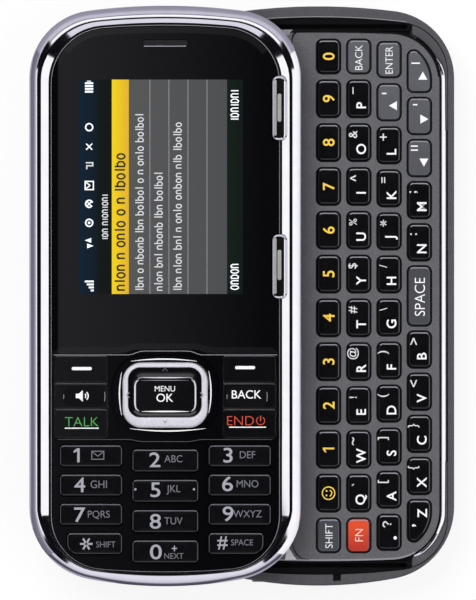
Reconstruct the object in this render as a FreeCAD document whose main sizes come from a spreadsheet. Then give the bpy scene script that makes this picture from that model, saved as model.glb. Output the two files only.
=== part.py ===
import FreeCAD, Part
import math
import operator
import os

import Sketcher

# A messaging phone in two halves. The display half slides sideways (+X closes it) over the
# keyboard half. It lies on its back: +Z is out of the screen, +Y points to the earpiece.
# The phone is drawn open, so the halves stand half the travel either side of X = 0.

os.makedirs("parts", exist_ok=True)
document = FreeCAD.newDocument("slider_phone")
sheet = document.addObject("Spreadsheet::Sheet", "Sizes")

driving_sizes = {
    # outline that both halves share, seen from above
    "half_width": 26.0,
    "half_length": 55.5,
    "top_arc": 115.0,
    "top_corner": 13.0,
    "bottom_arc": 78.0,
    "bottom_corner": 14.0,
    "slide_travel": 29.3,
    # running and assembly clearances
    "fit_gap": 0.1,
    "key_gap": 0.12,
    "slide_gap": 0.45,
    "rail_gap": 0.12,
    "stop_gap": 0.3,
    # keys and the switches under them
    "key_travel": 0.3,
    "rest_gap": 0.05,
    "flange_height": 0.3,
    "flange_width": 0.35,
    "dome_height": 0.25,
    "dome_radius": 1.5,
    "sheet_height": 0.2,
    "board_height": 0.8,
    # keyboard half, from its back upwards
    "back_round": 3.0,
    "cover_wall": 0.9,
    "cover_height": 2.2,
    "cover_side": 2.0,
    "cover_seam": 18.0,
    "battery_width": 34.0,
    "battery_length": 54.0,
    "battery_height": 4.6,
    "battery_drop": 16.0,
    "bay_ceiling": 0.6,
    "deck_height": 0.75,
    "rim_rise": 0.1,
    "rim_round": 0.5,
    # face of the keyboard half
    "well_half_width": 24.8,
    "well_half_length": 53.4,
    "well_arc": 145.0,
    "well_corner": 10.0,
    "well_rise": 0.3,
    "deck_half_width": 23.16,
    "deck_half_length": 50.75,
    "deck_arc": 360.0,
    "deck_corner": 9.4,
    "skirt_wall": 0.45,
    "bay_side": 0.8,
    "bay_end": 1.15,
    "trim_width": 1.15,
    "trim_rise": 0.15,
    # QWERTY keys
    "column_start": 1.92,
    "column_pitch": 5.8,
    "qwerty_width": 4.48,
    "qwerty_corner": 1.1,
    "qwerty_rise": 0.45,
    "qwerty_bevel": 0.2,
    "row_web": 1.32,
    "upper_row_margin": 1.65,
    "upper_row_trim": 0.6,
    "third_row_margin": 2.1,
    "third_row_trim": 0.17,
    "lower_row_web": 1.09,
    "lower_row_margin": 3.7,
    "lower_row_extra": 1.0,
    "space_extra": 4.4,
    "sweep_radius": 7.3,
    "sweep_rise": 5.77,
    "sweep_nose": 0.9,
    # rails and the carriage that runs in them
    "rail_wall": 0.5,
    "rail_floor": 0.6,
    "rail_tuck": 0.85,
    "rail_drop": 0.15,
    "channel_width": 0.9,
    "channel_inset": 0.4,
    "undercut_depth": 0.8,
    "undercut_height": 0.65,
    "foot_length": 4.0,
    "carriage_width": 17.0,
    "carriage_length": 88.0,
    "carriage_arm": 5.2,
    "carriage_height": 0.6,
    "carriage_window": 11.0,
    "carriage_window_length": 35.2,
    # pieces inside and on the keyboard half
    "camera_y": 40.0,
    "camera_width": 8.4,
    "camera_lens": 2.6,
    "camera_window_radius": 4.0,
    "camera_window_height": 0.8,
    "camera_window_sink": 0.2,
    "speaker_x": 12.5,
    "speaker_y": 28.0,
    "speaker_width": 13.0,
    "speaker_length": 9.0,
    "speaker_height": 2.8,
    "back_skin": 1.3,
    "slot_width": 0.8,
    "slot_length": 5.4,
    "slot_pitch": 1.9,
    "jack_y": 37.0,
    "jack_z": 4.1,
    "jack_radius": 1.3,
    "jack_depth": 8.0,
    "jack_width": 5.2,
    "jack_nose": 1.9,
    "jack_nose_length": 1.0,
    "jack_sink": 0.1,
    "port_x": -9.0,
    "port_width": 7.4,
    "port_depth": 5.6,
    "port_height": 2.6,
    "port_wall": 0.3,
    "port_sink": 0.7,
    "port_tongue": 0.6,
    "port_tongue_width": 4.4,
    "port_tongue_length": 3.9,
    "side_key_z": 4.8,
    "side_key_height": 2.4,
    "side_key_rise": 0.4,
    "side_key_wall": 0.8,
    "volume_y": 20.0,
    "volume_length": 13.0,
    "camera_key_y": -24.0,
    "camera_key_length": 9.0,
    "screw_head": 1.3,
    "screw_head_height": 0.8,
    "screw_shank": 0.65,
    "boss_radius": 1.5,
    "screw_x": -18.5,
    "screw_pitch": 11.0,
    "screw_y": 45.5,
    "screw_sink": 0.4,
    "mic_x": 3.55,
    "mic_width": 1.5,
    "wire_radius": 0.18,
    "spring_radius": 2.4,
    "spring_arm": 9.0,
    "spring_x": -13.0,
    "spring_y": 16.0,
    "ribbon_height": 0.12,
    "ribbon_width": 9.0,
    "ribbon_length": 12.0,
    "ribbon_x": -6.0,
    "ribbon_y": -16.0,
    # display half, from its back upwards
    "plate_inset": 0.9,
    "plate_height": 1.2,
    "plate_bevel": 0.45,
    "rib_height": 2.2,
    "rib_width": 1.2,
    "pad_rib_length": 29.0,
    "flank_inset": 0.2,
    "flank_height": 1.6,
    "shoulder_inset": 1.7,
    "cavity_inset": 2.9,
    "shoulder_skin": 0.65,
    "pad_face": 0.6,
    "nav_rise": 0.45,
    "band_rise": 0.5,
    "band_round": 1.6,
    "band_lip_round": 0.5,
    # black face inside the chrome band
    "face_half_width": 21.7,
    "face_top": 51.6,
    "face_top_arc": 150.0,
    "face_top_corner": 10.5,
    "face_bottom": 52.6,
    "face_bottom_arc": 160.0,
    "face_bottom_corner": 10.0,
    # display
    "window_height": 1.2,
    "window_bottom": 11.1,
    "window_bevel": 1.2,
    "window_bevel_height": 0.25,
    "panel_x": -0.86,
    "panel_y": 20.9,
    "screen_width": 31.4,
    "screen_length": 41.0,
    "panel_border": 2.8,
    "panel_height": 1.6,
    "ear_y": 48.35,
    "ear_width": 8.8,
    "ear_slot": 1.35,
    "ear_body_width": 12.0,
    "ear_body_length": 5.0,
    "ear_body_height": 2.2,
    "grille_sink": 0.35,
    "screen_key_x": 21.7,
    "screen_key_upper_y": 35.9,
    "screen_key_lower_y": 5.65,
    "screen_key_width": 2.7,
    "screen_key_length": 12.4,
    "screen_key_height": 1.1,
    "screen_key_bevel": 0.3,
    # navigation keys
    "nav_bottom": 27.45,
    "swell_half_width": 5.8,
    "swell_run": 2.5,
    "window_swell": 0.75,
    "nav_swell": 0.4,
    "nav_margin": 0.22,
    "cluster_side": 0.5,
    "cluster_inner": 10.95,
    "soft_key_length": 5.3,
    "middle_key_length": 4.95,
    "cluster_corner": 0.6,
    "cluster_rise": 0.12,
    "cluster_bevel": 0.1,
    "nav_y": -18.85,
    "well_width": 20.7,
    "well_length": 15.6,
    "well_round": 6.3,
    "nav_well_depth": 0.7,
    "ring_width": 16.5,
    "ring_length": 12.4,
    "ring_corner": 3.7,
    "ring_rise": 0.55,
    "ring_bevel": 0.35,
    "ring_ear_length": 2.0,
    "ring_trim_gap": 0.13,
    "ring_trim_rise": 0.5,
    "ring_trim_wall": 0.42,
    "ok_width": 11.9,
    "ok_length": 7.1,
    "ok_corner": 1.6,
    "ok_rise": 0.3,
    "ok_bevel": 0.3,
    # number keys
    "pad_column_x": 14.2,
    "side_key_width": 12.2,
    "middle_key_width": 12.9,
    "pad_web": 1.25,
    "side_top_margin": 0.95,
    "side_bottom_margin": 3.1,
    "middle_top_margin": 1.75,
    "middle_bottom_margin": 1.5,
    "corner_key_trim": 1.4,
    "pad_corner_round": 2.2,
    "pad_key_corner": 0.9,
    "pad_key_rise": 0.75,
    "pad_key_bevel": 0.4,
}

for row, (alias, size) in enumerate(driving_sizes.items(), start=1):
    sheet.set(f"A{row}", alias)
    sheet.set(f"B{row}", str(size))
    sheet.setAlias(f"B{row}", alias)
document.recompute()


class Size:
    """A number of mm together with the spreadsheet formula that gives it."""

    def __init__(self, number, text):
        self.number = number
        self.text = text

    def joined(self, other, sign, work, flipped=False):
        if not isinstance(other, Size):
            other = Size(other, f"({other})")
        left, right = (other, self) if flipped else (self, other)
        return Size(work(left.number, right.number), f"({left.text} {sign} {right.text})")

    def __add__(self, other):
        return self.joined(other, "+", operator.add)

    def __radd__(self, other):
        return self.joined(other, "+", operator.add, flipped=True)

    def __sub__(self, other):
        return self.joined(other, "-", operator.sub)

    def __rsub__(self, other):
        return self.joined(other, "-", operator.sub, flipped=True)

    def __mul__(self, other):
        return self.joined(other, "*", operator.mul)

    def __rmul__(self, other):
        return self.joined(other, "*", operator.mul, flipped=True)

    def __truediv__(self, other):
        return self.joined(other, "/", operator.truediv)

    def __neg__(self):
        return self * -1


class Sizes:
    """Gives each alias of the sheet as a Size."""

    def __getattr__(self, alias):
        return Size(float(sheet.get(alias)), f"Sizes.{alias}")


s = Sizes()
zero = Size(0.0, "0")
# corner radius of a pill's ends as a share of its width, just under a half
pill = 0.45


def bind(thing, name, size):
    """Set a property from a plain number or from a sheet formula."""
    if isinstance(size, Size):
        thing.setExpression(name, size.text)
    elif "." not in name:
        setattr(thing, name, size)


def number(size):
    return size.number if isinstance(size, Size) else size


# ---- levels above the table -------------------------------------------------------------

bay_floor = s.cover_wall + s.fit_gap
bay_top = bay_floor + s.battery_height + s.fit_gap
board_z = bay_top + s.bay_ceiling
switch_z = board_z + s.board_height
dome_z = switch_z + s.sheet_height
dome_top = dome_z + s.dome_height
flange_z = dome_top + s.key_travel + s.rest_gap
deck_under = flange_z + s.flange_height + s.rest_gap
deck_top = deck_under + s.deck_height
qwerty_top = deck_top + s.qwerty_rise
rim_top = deck_top + s.rim_rise
well_floor = board_z + s.well_rise

plate_z = qwerty_top + s.slide_gap
plate_top = plate_z + s.plate_height
pad_board_z = plate_top + s.rib_height
pad_switch_z = pad_board_z + s.board_height
pad_dome_z = pad_switch_z + s.sheet_height
pad_dome_top = pad_dome_z + s.dome_height
pad_flange_z = pad_dome_top + s.key_travel + s.rest_gap
face_under = pad_flange_z + s.flange_height + s.rest_gap
shoulder_top = face_under + s.shoulder_skin
pad_face_top = shoulder_top + s.pad_face
nav_face_top = pad_face_top + s.nav_rise
flank_top = plate_top + s.flank_height
band_top = pad_face_top + s.band_rise
window_z = shoulder_top
window_top = window_z + s.window_height


# ---- sketches ---------------------------------------------------------------------------

class Form:
    """A closed outline: straight sides, arched ends and rounded corners."""

    def __init__(self, half_width, top, top_arc, top_corner, bottom, bottom_arc, bottom_corner):
        self.half_width = half_width
        self.top = top
        self.top_arc = top_arc
        self.top_corner = top_corner
        self.bottom = bottom
        self.bottom_arc = bottom_arc
        self.bottom_corner = bottom_corner

    def inset(self, gap):
        """The outline that runs inside this one at a constant distance."""
        return Form(self.half_width - gap, self.top - gap, self.top_arc - gap, self.top_corner - gap,
                    self.bottom - gap, self.bottom_arc - gap, self.bottom_corner - gap)


shell_form = Form(s.half_width, s.half_length, s.top_arc, s.top_corner,
                  s.half_length, s.bottom_arc, s.bottom_corner)
well_form = Form(s.well_half_width, s.well_half_length, s.well_arc, s.well_corner,
                 s.well_half_length, s.well_arc, s.well_corner)
deck_form = Form(s.deck_half_width, s.deck_half_length, s.deck_arc, s.deck_corner,
                 s.deck_half_length, s.deck_arc, s.deck_corner)
face_form = Form(s.face_half_width, s.face_top, s.face_top_arc, s.face_top_corner,
                 s.face_bottom, s.face_bottom_arc, s.face_bottom_corner)

origin_vertex = (-1, 1)
vertical_axis = -2
start, end, centre = 1, 2, 3
up = FreeCAD.Vector(0, 0, 1)


def vector(x, y, z=0.0):
    return FreeCAD.Vector(x, y, z)


def origin_feature(body, role):
    return next(feature for feature in body.Origin.OriginFeatures if feature.Role == role)


def new_sketch(body, plane, x, y, z):
    """A sketch parallel to one of the body's own planes, with its origin at x, y, z."""
    sketch = body.newObject("Sketcher::SketchObject", "outline")
    sketch.AttachmentSupport = (origin_feature(body, plane), "")
    sketch.MapMode = "FlatFace"
    offsets = {"XY_Plane": (x, y, z), "YZ_Plane": (y, z, x), "XZ_Plane": (x, z, -y)}[plane]
    for axis, offset in zip("xyz", offsets):
        if isinstance(offset, Size):
            sketch.setExpression(f"AttachmentOffset.Base.{axis}", offset.text)
    return sketch


def constrain(sketch, kind, *references, size=None):
    """Add a constraint, and tie it to the sheet when it carries a size."""
    if size is None:
        sketch.addConstraint(Sketcher.Constraint(kind, *references))
        return
    index = sketch.addConstraint(Sketcher.Constraint(kind, *references, number(size)))
    if isinstance(size, Size):
        sketch.setExpression(f"Constraints[{index}]", size.text)


def close_smoothly(sketch, count):
    for index in range(count):
        constrain(sketch, "Tangent", index, end, (index + 1) % count, start)


def arc(x, y, radius, first_angle, last_angle):
    circle = Part.Circle(vector(x, y), up, radius)
    return Part.ArcOfCircle(circle, first_angle, last_angle)


def form_sketch(body, form, z):
    """The outline of a Form, lying at height z."""
    sketch = new_sketch(body, "XY_Plane", zero, zero, z)
    side = form.half_width.number
    ends = []
    for reach, radius, corner in ((form.top, form.top_arc, form.top_corner),
                                  (form.bottom, form.bottom_arc, form.bottom_corner)):
        across = side - corner.number
        rise = math.sqrt((radius.number - corner.number) ** 2 - across ** 2)
        ends.append((reach.number - radius.number, rise, math.atan2(rise, across)))
    (top_y, top_rise, top_angle), (bottom_y, bottom_rise, bottom_angle) = ends
    top_corner, bottom_corner = form.top_corner.number, form.bottom_corner.number
    high, low = top_y + top_rise, -(bottom_y + bottom_rise)
    sketch.addGeometry([
        Part.LineSegment(vector(side, low), vector(side, high)),
        arc(side - top_corner, high, top_corner, 0, top_angle),
        arc(0, top_y, form.top_arc.number, top_angle, math.pi - top_angle),
        arc(top_corner - side, high, top_corner, math.pi - top_angle, math.pi),
        Part.LineSegment(vector(-side, high), vector(-side, low)),
        arc(bottom_corner - side, low, bottom_corner, math.pi, math.pi + bottom_angle),
        arc(0, -bottom_y, form.bottom_arc.number, math.pi + bottom_angle, 2 * math.pi - bottom_angle),
        arc(side - bottom_corner, low, bottom_corner, -bottom_angle, 0),
    ], False)
    close_smoothly(sketch, 8)
    for line, offset in ((0, form.half_width), (4, -form.half_width)):
        constrain(sketch, "Vertical", line)
        constrain(sketch, "DistanceX", *origin_vertex, line, start, size=offset)
    for index, radius in ((1, form.top_corner), (2, form.top_arc), (3, form.top_corner),
                          (5, form.bottom_corner), (6, form.bottom_arc), (7, form.bottom_corner)):
        constrain(sketch, "Radius", index, size=radius)
    for index, offset in ((2, form.top - form.top_arc), (6, form.bottom_arc - form.bottom)):
        constrain(sketch, "PointOnObject", index, centre, vertical_axis)
        constrain(sketch, "DistanceY", *origin_vertex, index, centre, size=offset)
    return sketch


class Sweep:
    """A corner of two arcs: a wide one that starts at rise below the end, and a small nose."""

    def __init__(self, wide, nose, rise):
        self.wide = wide
        self.nose = nose
        self.rise = rise

    def __add__(self, growth):
        return Sweep(self.wide + growth, self.nose + growth, self.rise + growth)


def swept_corner(sweep, right, high, side):
    """The two arcs of a Sweep at the right, at the upper end or, for side -1, the lower one."""
    wide, nose = sweep.wide.number, sweep.nose.number
    level = high - sweep.rise.number
    turn = math.asin((high - nose - level) / (wide - nose))
    nose_x = right - wide + (wide - nose) * math.cos(turn)
    if side > 0:
        return [arc(right - wide, level, wide, 0, turn), arc(nose_x, high - nose, nose, turn, math.pi / 2)]
    return [arc(nose_x, nose - high, nose, -math.pi / 2, -turn), arc(right - wide, -level, wide, -turn, 0)]


def rounded_sketch(body, place, width, length, corners, plane="XY_Plane"):
    """A rounded rectangle about place; corners is one corner, or four from the upper right round."""
    sketch = new_sketch(body, plane, *place)
    corners = corners if isinstance(corners, (list, tuple)) else [corners] * 4
    right, high = number(width) / 2, number(length) / 2
    turns = []
    for index, (corner, across, along) in enumerate(zip(corners, (1, -1, -1, 1), (1, 1, -1, -1))):
        if isinstance(corner, Sweep):
            turns.append(swept_corner(corner, right, high, along))
        else:
            radius, first = number(corner), index * math.pi / 2
            turns.append([arc(across * (right - radius), along * (high - radius), radius,
                              first, first + math.pi / 2)])
    lines, count = [], 0
    for index, turn in enumerate(turns):
        lines.append(count)
        sketch.addGeometry([Part.LineSegment(turns[index - 1][-1].EndPoint, turn[0].StartPoint), *turn], False)
        count += 1 + len(turn)
    close_smoothly(sketch, count)
    for line, kind, offset in zip(lines, "XYXY", (width / 2, length / 2, width / -2, length / -2)):
        constrain(sketch, "Vertical" if kind == "X" else "Horizontal", line)
        constrain(sketch, "Distance" + kind, *origin_vertex, line, start, size=offset)
    for line, corner, along in zip(lines, corners, (1, 1, -1, -1)):
        if isinstance(corner, Sweep):
            wide, nose = (line + 1, line + 2) if along > 0 else (line + 2, line + 1)
            constrain(sketch, "Radius", wide, size=corner.wide)
            constrain(sketch, "Radius", nose, size=corner.nose)
            constrain(sketch, "DistanceY", *origin_vertex, wide, centre, size=(length / 2 - corner.rise) * along)
        else:
            constrain(sketch, "Radius", line + 1, size=corner)
    return sketch


def circle_sketch(body, place, radius, plane="XY_Plane"):
    sketch = new_sketch(body, plane, *place)
    sketch.addGeometry(Part.Circle(vector(0, 0), up, number(radius)), False)
    constrain(sketch, "Coincident", 0, centre, *origin_vertex)
    constrain(sketch, "Radius", 0, size=radius)
    return sketch


def polygon_sketch(body, points, place=(zero, zero, zero), plane="XY_Plane"):
    """Straight edges through points, each point tied to the sheet by its two distances."""
    sketch = new_sketch(body, plane, *place)
    flat = [vector(number(x), number(y)) for x, y in points]
    count = len(points)
    for index in range(count):
        sketch.addGeometry(Part.LineSegment(flat[index], flat[(index + 1) % count]), False)
    for index in range(count):
        constrain(sketch, "Coincident", index, end, (index + 1) % count, start)
    for index, (x, y) in enumerate(points):
        constrain(sketch, "DistanceX", *origin_vertex, index, start, size=x)
        constrain(sketch, "DistanceY", *origin_vertex, index, start, size=y)
    return sketch


def box_sketch(body, place, width, length, plane="XY_Plane"):
    """A rectangle about place."""
    right, high = width / 2, length / 2
    points = [(right, high), (-right, high), (-right, -high), (right, -high)]
    return polygon_sketch(body, points, place, plane)


# ---- features ---------------------------------------------------------------------------

def new_body(label):
    body = document.addObject("PartDesign::Body", label)
    body.Label = label
    body.AllowCompound = True
    return body


def pad(body, sketch, height):
    """Extrude the sketch along its normal."""
    feature = body.newObject("PartDesign::Pad", "pad")
    feature.Profile = sketch
    bind(feature, "Length", height)
    return feature


def cut(body, sketch, height):
    """Remove the sketch's prism, along its normal."""
    feature = body.newObject("PartDesign::Pocket", "cut")
    feature.Profile = sketch
    feature.Reversed = True
    feature.Refine = False
    bind(feature, "Length", height)
    return feature


def row_of(body, features, axis, pitch, count):
    """Repeat features at a constant pitch along one of the body's axes."""
    feature = body.newObject("PartDesign::LinearPattern", "row")
    feature.Originals = features
    feature.Direction = (origin_feature(body, axis), [""])
    feature.Mode = "Spacing"
    feature.Occurrences = count
    feature.Refine = False
    bind(feature, "Offset", pitch)
    body.Tip = feature
    return feature


def edges_where(feature, test):
    document.recompute()
    return [f"Edge{index}" for index, edge in enumerate(feature.Shape.Edges, start=1) if test(edge)]


def level_edges(feature, z, test=lambda edge: True):
    """Edges that lie flat at height z."""
    height = number(z)
    return edges_where(feature, lambda edge: abs(edge.BoundBox.ZMin - height) < 0.001
                       and edge.BoundBox.ZLength < 0.001 and test(edge))


def soften(body, kind, edges, size, run=None):
    """Fillet or Chamfer the named edges of the body's last feature."""
    base = body.Tip
    feature = body.newObject("PartDesign::" + kind, kind.lower())
    feature.Base = (base, edges)
    bind(feature, "Radius" if kind == "Fillet" else "Size", size)
    if run is not None:
        feature.ChamferType = "Two distances"
        bind(feature, "Size2", run)
    return feature


# ---- key plans --------------------------------------------------------------------------

class Key:
    """The hole for one key, or for a row of equal keys, seen from above."""

    def __init__(self, x, y, width, length, corners, count=1, pitch=zero):
        self.x = x
        self.y = y
        self.width = width
        self.length = length
        self.corners = corners if isinstance(corners, (list, tuple)) else [corners] * 4
        self.count = count
        self.pitch = pitch

    def grown(self, body, z, growth):
        """The plan widened by growth all round."""
        corners = [corner + growth for corner in self.corners]
        return rounded_sketch(body, (self.x, self.y, z), self.width + growth * 2,
                              self.length + growth * 2, corners)

    def repeated(self, body, features):
        if self.count > 1:
            row_of(body, features, "Y_Axis", self.pitch, self.count)


def key_body(label, plans, low, high, bevel, flange=None):
    """Caps that fill the plans with a gap, with a flange below that keeps them in."""
    body = new_body(label)
    for plan in plans:
        features = [pad(body, plan.grown(body, low, -s.key_gap), high - low)]
        if flange is not None:
            features.append(pad(body, plan.grown(body, low, flange), s.flange_height))
        plan.repeated(body, features)
    soften(body, "Chamfer", level_edges(body.Tip, high), bevel)
    return body


def key_holes(body, plans, z, height):
    """Single holes first and whole rows last, which is the quickest order."""
    for plan in sorted(plans, key=lambda plan: plan.count):
        plan.repeated(body, [cut(body, plan.grown(body, z, zero), height)])


def domes(body, plans, z):
    """A snap dome under the middle of every key."""
    for plan in plans:
        dome = pad(body, circle_sketch(body, (plan.x, plan.y, z), s.dome_radius), s.dome_height)
        plan.repeated(body, [dome])


def column_x(index):
    return s.column_start + s.column_pitch * index


class Row:
    """One row of the keyboard: its key length and pitch follow from the deck and the margins."""

    def __init__(self, column, margin, web, trim, count, extra=zero):
        self.x = column_x(column)
        self.reach = s.deck_half_length - margin
        self.web = web
        self.trim = trim
        self.length = (self.reach * 2 + trim * 2 - web * (count - 1) - extra) / count
        self.pitch = self.length + web
        self.extra = extra

    def regular(self, index, count=1, after_space=False):
        """Equal keys from the index-th place upwards."""
        y = self.length * 0.5 - self.reach - self.trim + self.pitch * index
        if after_space:
            y = y + self.extra
        return Key(self.x, y, s.qwerty_width, self.length, s.qwerty_corner, count, self.pitch)

    def last(self, side, corners=None):
        """The key at one end of the row, which is shorter by the trim."""
        length = self.length - self.trim
        return Key(self.x, (self.reach - length / 2) * side, s.qwerty_width, length,
                   corners or s.qwerty_corner)


number_row = Row(0, s.upper_row_margin, s.row_web, s.upper_row_trim, 12)
q_row = Row(1, s.upper_row_margin, s.row_web, s.upper_row_trim, 12)
a_row = Row(2, s.third_row_margin, s.row_web, s.third_row_trim, 12)
z_row = Row(3, s.lower_row_margin, s.lower_row_web, -s.lower_row_extra, 11, s.space_extra)
small, swept = s.qwerty_corner, Sweep(s.sweep_radius, s.sweep_nose, s.sweep_rise)
space_plan = z_row.regular(5)
space_plan.y = space_plan.y + s.space_extra / 2
space_plan.length = space_plan.length + s.space_extra

qwerty_plans = {
    "number_row_keys": [number_row.regular(1, 10), number_row.last(1)],
    "q_row_keys": [q_row.regular(1, 10)],
    "a_row_keys": [a_row.last(-1), a_row.regular(1, 9)],
    "z_row_keys": [z_row.last(-1, [small, small, small, swept]), z_row.regular(1, 4),
                   z_row.regular(6, 2, after_space=True)],
    "shift_key": [number_row.last(-1)],
    "fn_key": [q_row.last(-1)],
    "delete_key": [q_row.last(1)],
    "enter_key": [a_row.last(1)],
    "space_key": [space_plan],
    "arrow_keys": [a_row.regular(10), z_row.regular(8, 2, after_space=True),
                   z_row.last(1, [swept, small, small, small])],
}
all_qwerty_plans = [plan for plans in qwerty_plans.values() for plan in plans]


# ---- keyboard half ----------------------------------------------------------------------

bay_width = s.battery_width + s.stop_gap * 2
bay_length = s.battery_length + s.stop_gap * 2
board_bay_width = (s.deck_half_width - s.bay_side) * 2
board_bay_length = (s.deck_half_length - s.bay_end) * 2
board_bay_corner = s.deck_corner - s.bay_side
tongue_width = s.battery_width / 5
tongue_reach = s.back_round / 2
tongue_x = s.battery_width / 3
jack_mouth = s.jack_sink - s.half_width
jack_block = jack_mouth + s.jack_nose_length
jack_low = s.jack_z - s.jack_width / 2
jack_high = board_z - s.fit_gap
port_mouth = s.port_sink - s.half_length
port_z = board_z - s.fit_gap - s.port_height / 2
rail_half_length = s.slide_travel / 2 + s.foot_length / 2 + s.stop_gap
rail_outer_half = rail_half_length + s.rail_wall
mouth_y = s.deck_half_length + s.channel_inset
channel_z = well_floor + s.rail_floor
foot_z = channel_z + s.rail_gap
screw_places = [(s.screw_x + s.screw_pitch * step, s.screw_y * side)
                for step in (0, 1) for side in (1, -1)]
# past every edge of either half
far = s.half_length * 4


def screw_head_z(y):
    """Top screws go in from the back, bottom ones from under the battery cover."""
    return s.screw_sink if y.number > 0 else s.cover_height + s.fit_gap


def back_blank(body):
    """The full outline of the keyboard half with its rounded back edge."""
    pad(body, form_sketch(body, shell_form, zero), rim_top)
    soften(body, "Fillet", level_edges(body.Tip, zero), s.back_round)


def reaches_past(edge, half_width, half_length):
    """True for an edge of which some part lies outside the given half sizes."""
    box = edge.BoundBox
    return (max(box.XMax, -box.XMin) > half_width.number
            or max(box.YMax, -box.YMin) > half_length.number)


def on_outer_rim(edge):
    """True for the long edges of the outermost rim of the keyboard half."""
    return edge.Length > s.mic_width.number * 1.5 and reaches_past(
        edge, (s.well_half_width + s.half_width) / 2, (s.well_half_length + s.half_length) / 2)


def side_key_plan(body, y, length, x, growth):
    """The plan of a side key, seen along X, widened by growth all round."""
    high = s.side_key_height + growth * 2
    return rounded_sketch(body, (x, y, s.side_key_z), length + growth * 2, high, high * pill, "YZ_Plane")


def make_rear_housing():
    body = new_body("rear_housing")
    back_blank(body)
    # room for the battery cover, below the split and beyond the seam
    cut(body, box_sketch(body, (zero, (s.cover_seam - far) / 2, zero), far, s.cover_seam + far),
        s.cover_height)
    # well for deck, trim and rails, and the deeper bay for the board
    cut(body, form_sketch(body, well_form, well_floor), rim_top - well_floor)
    cut(body, rounded_sketch(body, (zero, zero, board_z), board_bay_width, board_bay_length,
                             board_bay_corner), rim_top - board_z)
    # battery bay, open to the back, and slots that take the cover's tongues
    cut(body, rounded_sketch(body, (zero, -s.battery_drop, zero), bay_width, bay_length, s.stop_gap * 4),
        bay_top)
    for side in (1, -1):
        cut(body, box_sketch(body, (tongue_x * side, s.cover_seam, bay_floor), tongue_width + s.stop_gap * 2,
                             tongue_reach * 2 + s.stop_gap * 2), s.cover_height - bay_floor)
    # camera: module from inside, window from outside
    camera_bay = s.camera_width + s.fit_gap * 2
    cut(body, box_sketch(body, (zero, s.camera_y, s.back_skin), camera_bay, camera_bay),
        board_z - s.back_skin)
    for radius, height in ((s.camera_window_radius, s.camera_window_sink + s.camera_window_height),
                           (s.camera_lens, s.back_skin)):
        cut(body, circle_sketch(body, (zero, s.camera_y, zero), radius + s.fit_gap), height)
    # loudspeaker and its sound slots
    cut(body, box_sketch(body, (s.speaker_x, s.speaker_y, s.back_skin), s.speaker_width + s.fit_gap * 2,
                         s.speaker_length + s.fit_gap * 2), board_z - s.back_skin)
    slot = cut(body, rounded_sketch(body, (s.speaker_x - s.slot_pitch * 2, s.speaker_y, zero), s.slot_width,
                                    s.slot_length, s.slot_width * pill), s.back_skin)
    row_of(body, [slot], "X_Axis", s.slot_pitch, 5)
    # headset jack in the left flank
    cut(body, box_sketch(body, (jack_block + s.jack_depth / 2, s.jack_y, jack_low - s.fit_gap),
                         s.jack_depth + s.fit_gap * 2, s.jack_width + s.fit_gap * 2),
        board_z - jack_low + s.fit_gap)
    cut(body, circle_sketch(body, (-s.half_width - s.jack_nose, s.jack_y, s.jack_z), s.jack_nose + s.fit_gap,
                            "YZ_Plane"), s.jack_nose + s.jack_nose_length + s.jack_sink)
    # charging port in the bottom end
    cut(body, box_sketch(body, (s.port_x, port_mouth + s.port_depth / 2, port_z - s.port_height / 2
                                - s.fit_gap), s.port_width + s.fit_gap * 2, s.port_depth + s.fit_gap * 2),
        s.port_height + s.fit_gap * 2)
    cut(body, rounded_sketch(body, (s.port_x, port_mouth, port_z), s.port_width + s.fit_gap * 2,
                             s.port_height + s.fit_gap * 2, s.port_height / 4, "XZ_Plane"), s.port_depth)
    # side keys in the left flank: an opening through the wall and a wider pocket behind it
    for y, length in ((s.volume_y, s.volume_length), (s.camera_key_y, s.camera_key_length)):
        cut(body, side_key_plan(body, y, length, -s.half_width - s.fit_gap, s.key_gap),
            s.side_key_wall + s.fit_gap * 2)
        cut(body, side_key_plan(body, y, length, s.side_key_wall - s.half_width, s.flange_width + s.key_gap),
            s.rest_gap * 2 + s.flange_height + s.key_travel)
    # microphone slot in the bottom rim
    cut(body, box_sketch(body, (s.mic_x, -s.well_half_length, deck_under), s.mic_width,
                         (s.half_length - s.well_half_length) * 1.2), rim_top - deck_under)
    for x, y in screw_places:
        cut(body, circle_sketch(body, (x, y, zero), s.screw_head + s.fit_gap),
            screw_head_z(y) + s.screw_head_height)
        cut(body, circle_sketch(body, (x, y, zero), s.screw_shank + s.fit_gap), board_z)
    soften(body, "Fillet", level_edges(body.Tip, rim_top, on_outer_rim), s.rim_round)
    return body


def make_battery_cover():
    body = new_body("battery_cover")
    back_blank(body)
    above = s.cover_height - s.fit_gap
    cut(body, box_sketch(body, (zero, zero, above), far, far), rim_top)
    seam = s.cover_seam - s.fit_gap
    cut(body, box_sketch(body, (zero, (seam + far) / 2, zero), far, far - seam), rim_top)
    cut(body, form_sketch(body, shell_form.inset(s.cover_side), s.cover_wall), s.cover_height)
    for side in (1, -1):
        x = tongue_x * side
        pad(body, box_sketch(body, (x, seam - tongue_reach, s.cover_wall), tongue_width, tongue_reach * 2),
            above - s.cover_wall)
        pad(body, box_sketch(body, (x, s.cover_seam, bay_floor + s.fit_gap), tongue_width, tongue_reach * 2),
            above - bay_floor - s.fit_gap)
    return body


def make_battery():
    body = new_body("battery")
    pad(body, rounded_sketch(body, (zero, -s.battery_drop, bay_floor), s.battery_width, s.battery_length,
                             s.stop_gap * 3), s.battery_height)
    return body


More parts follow.
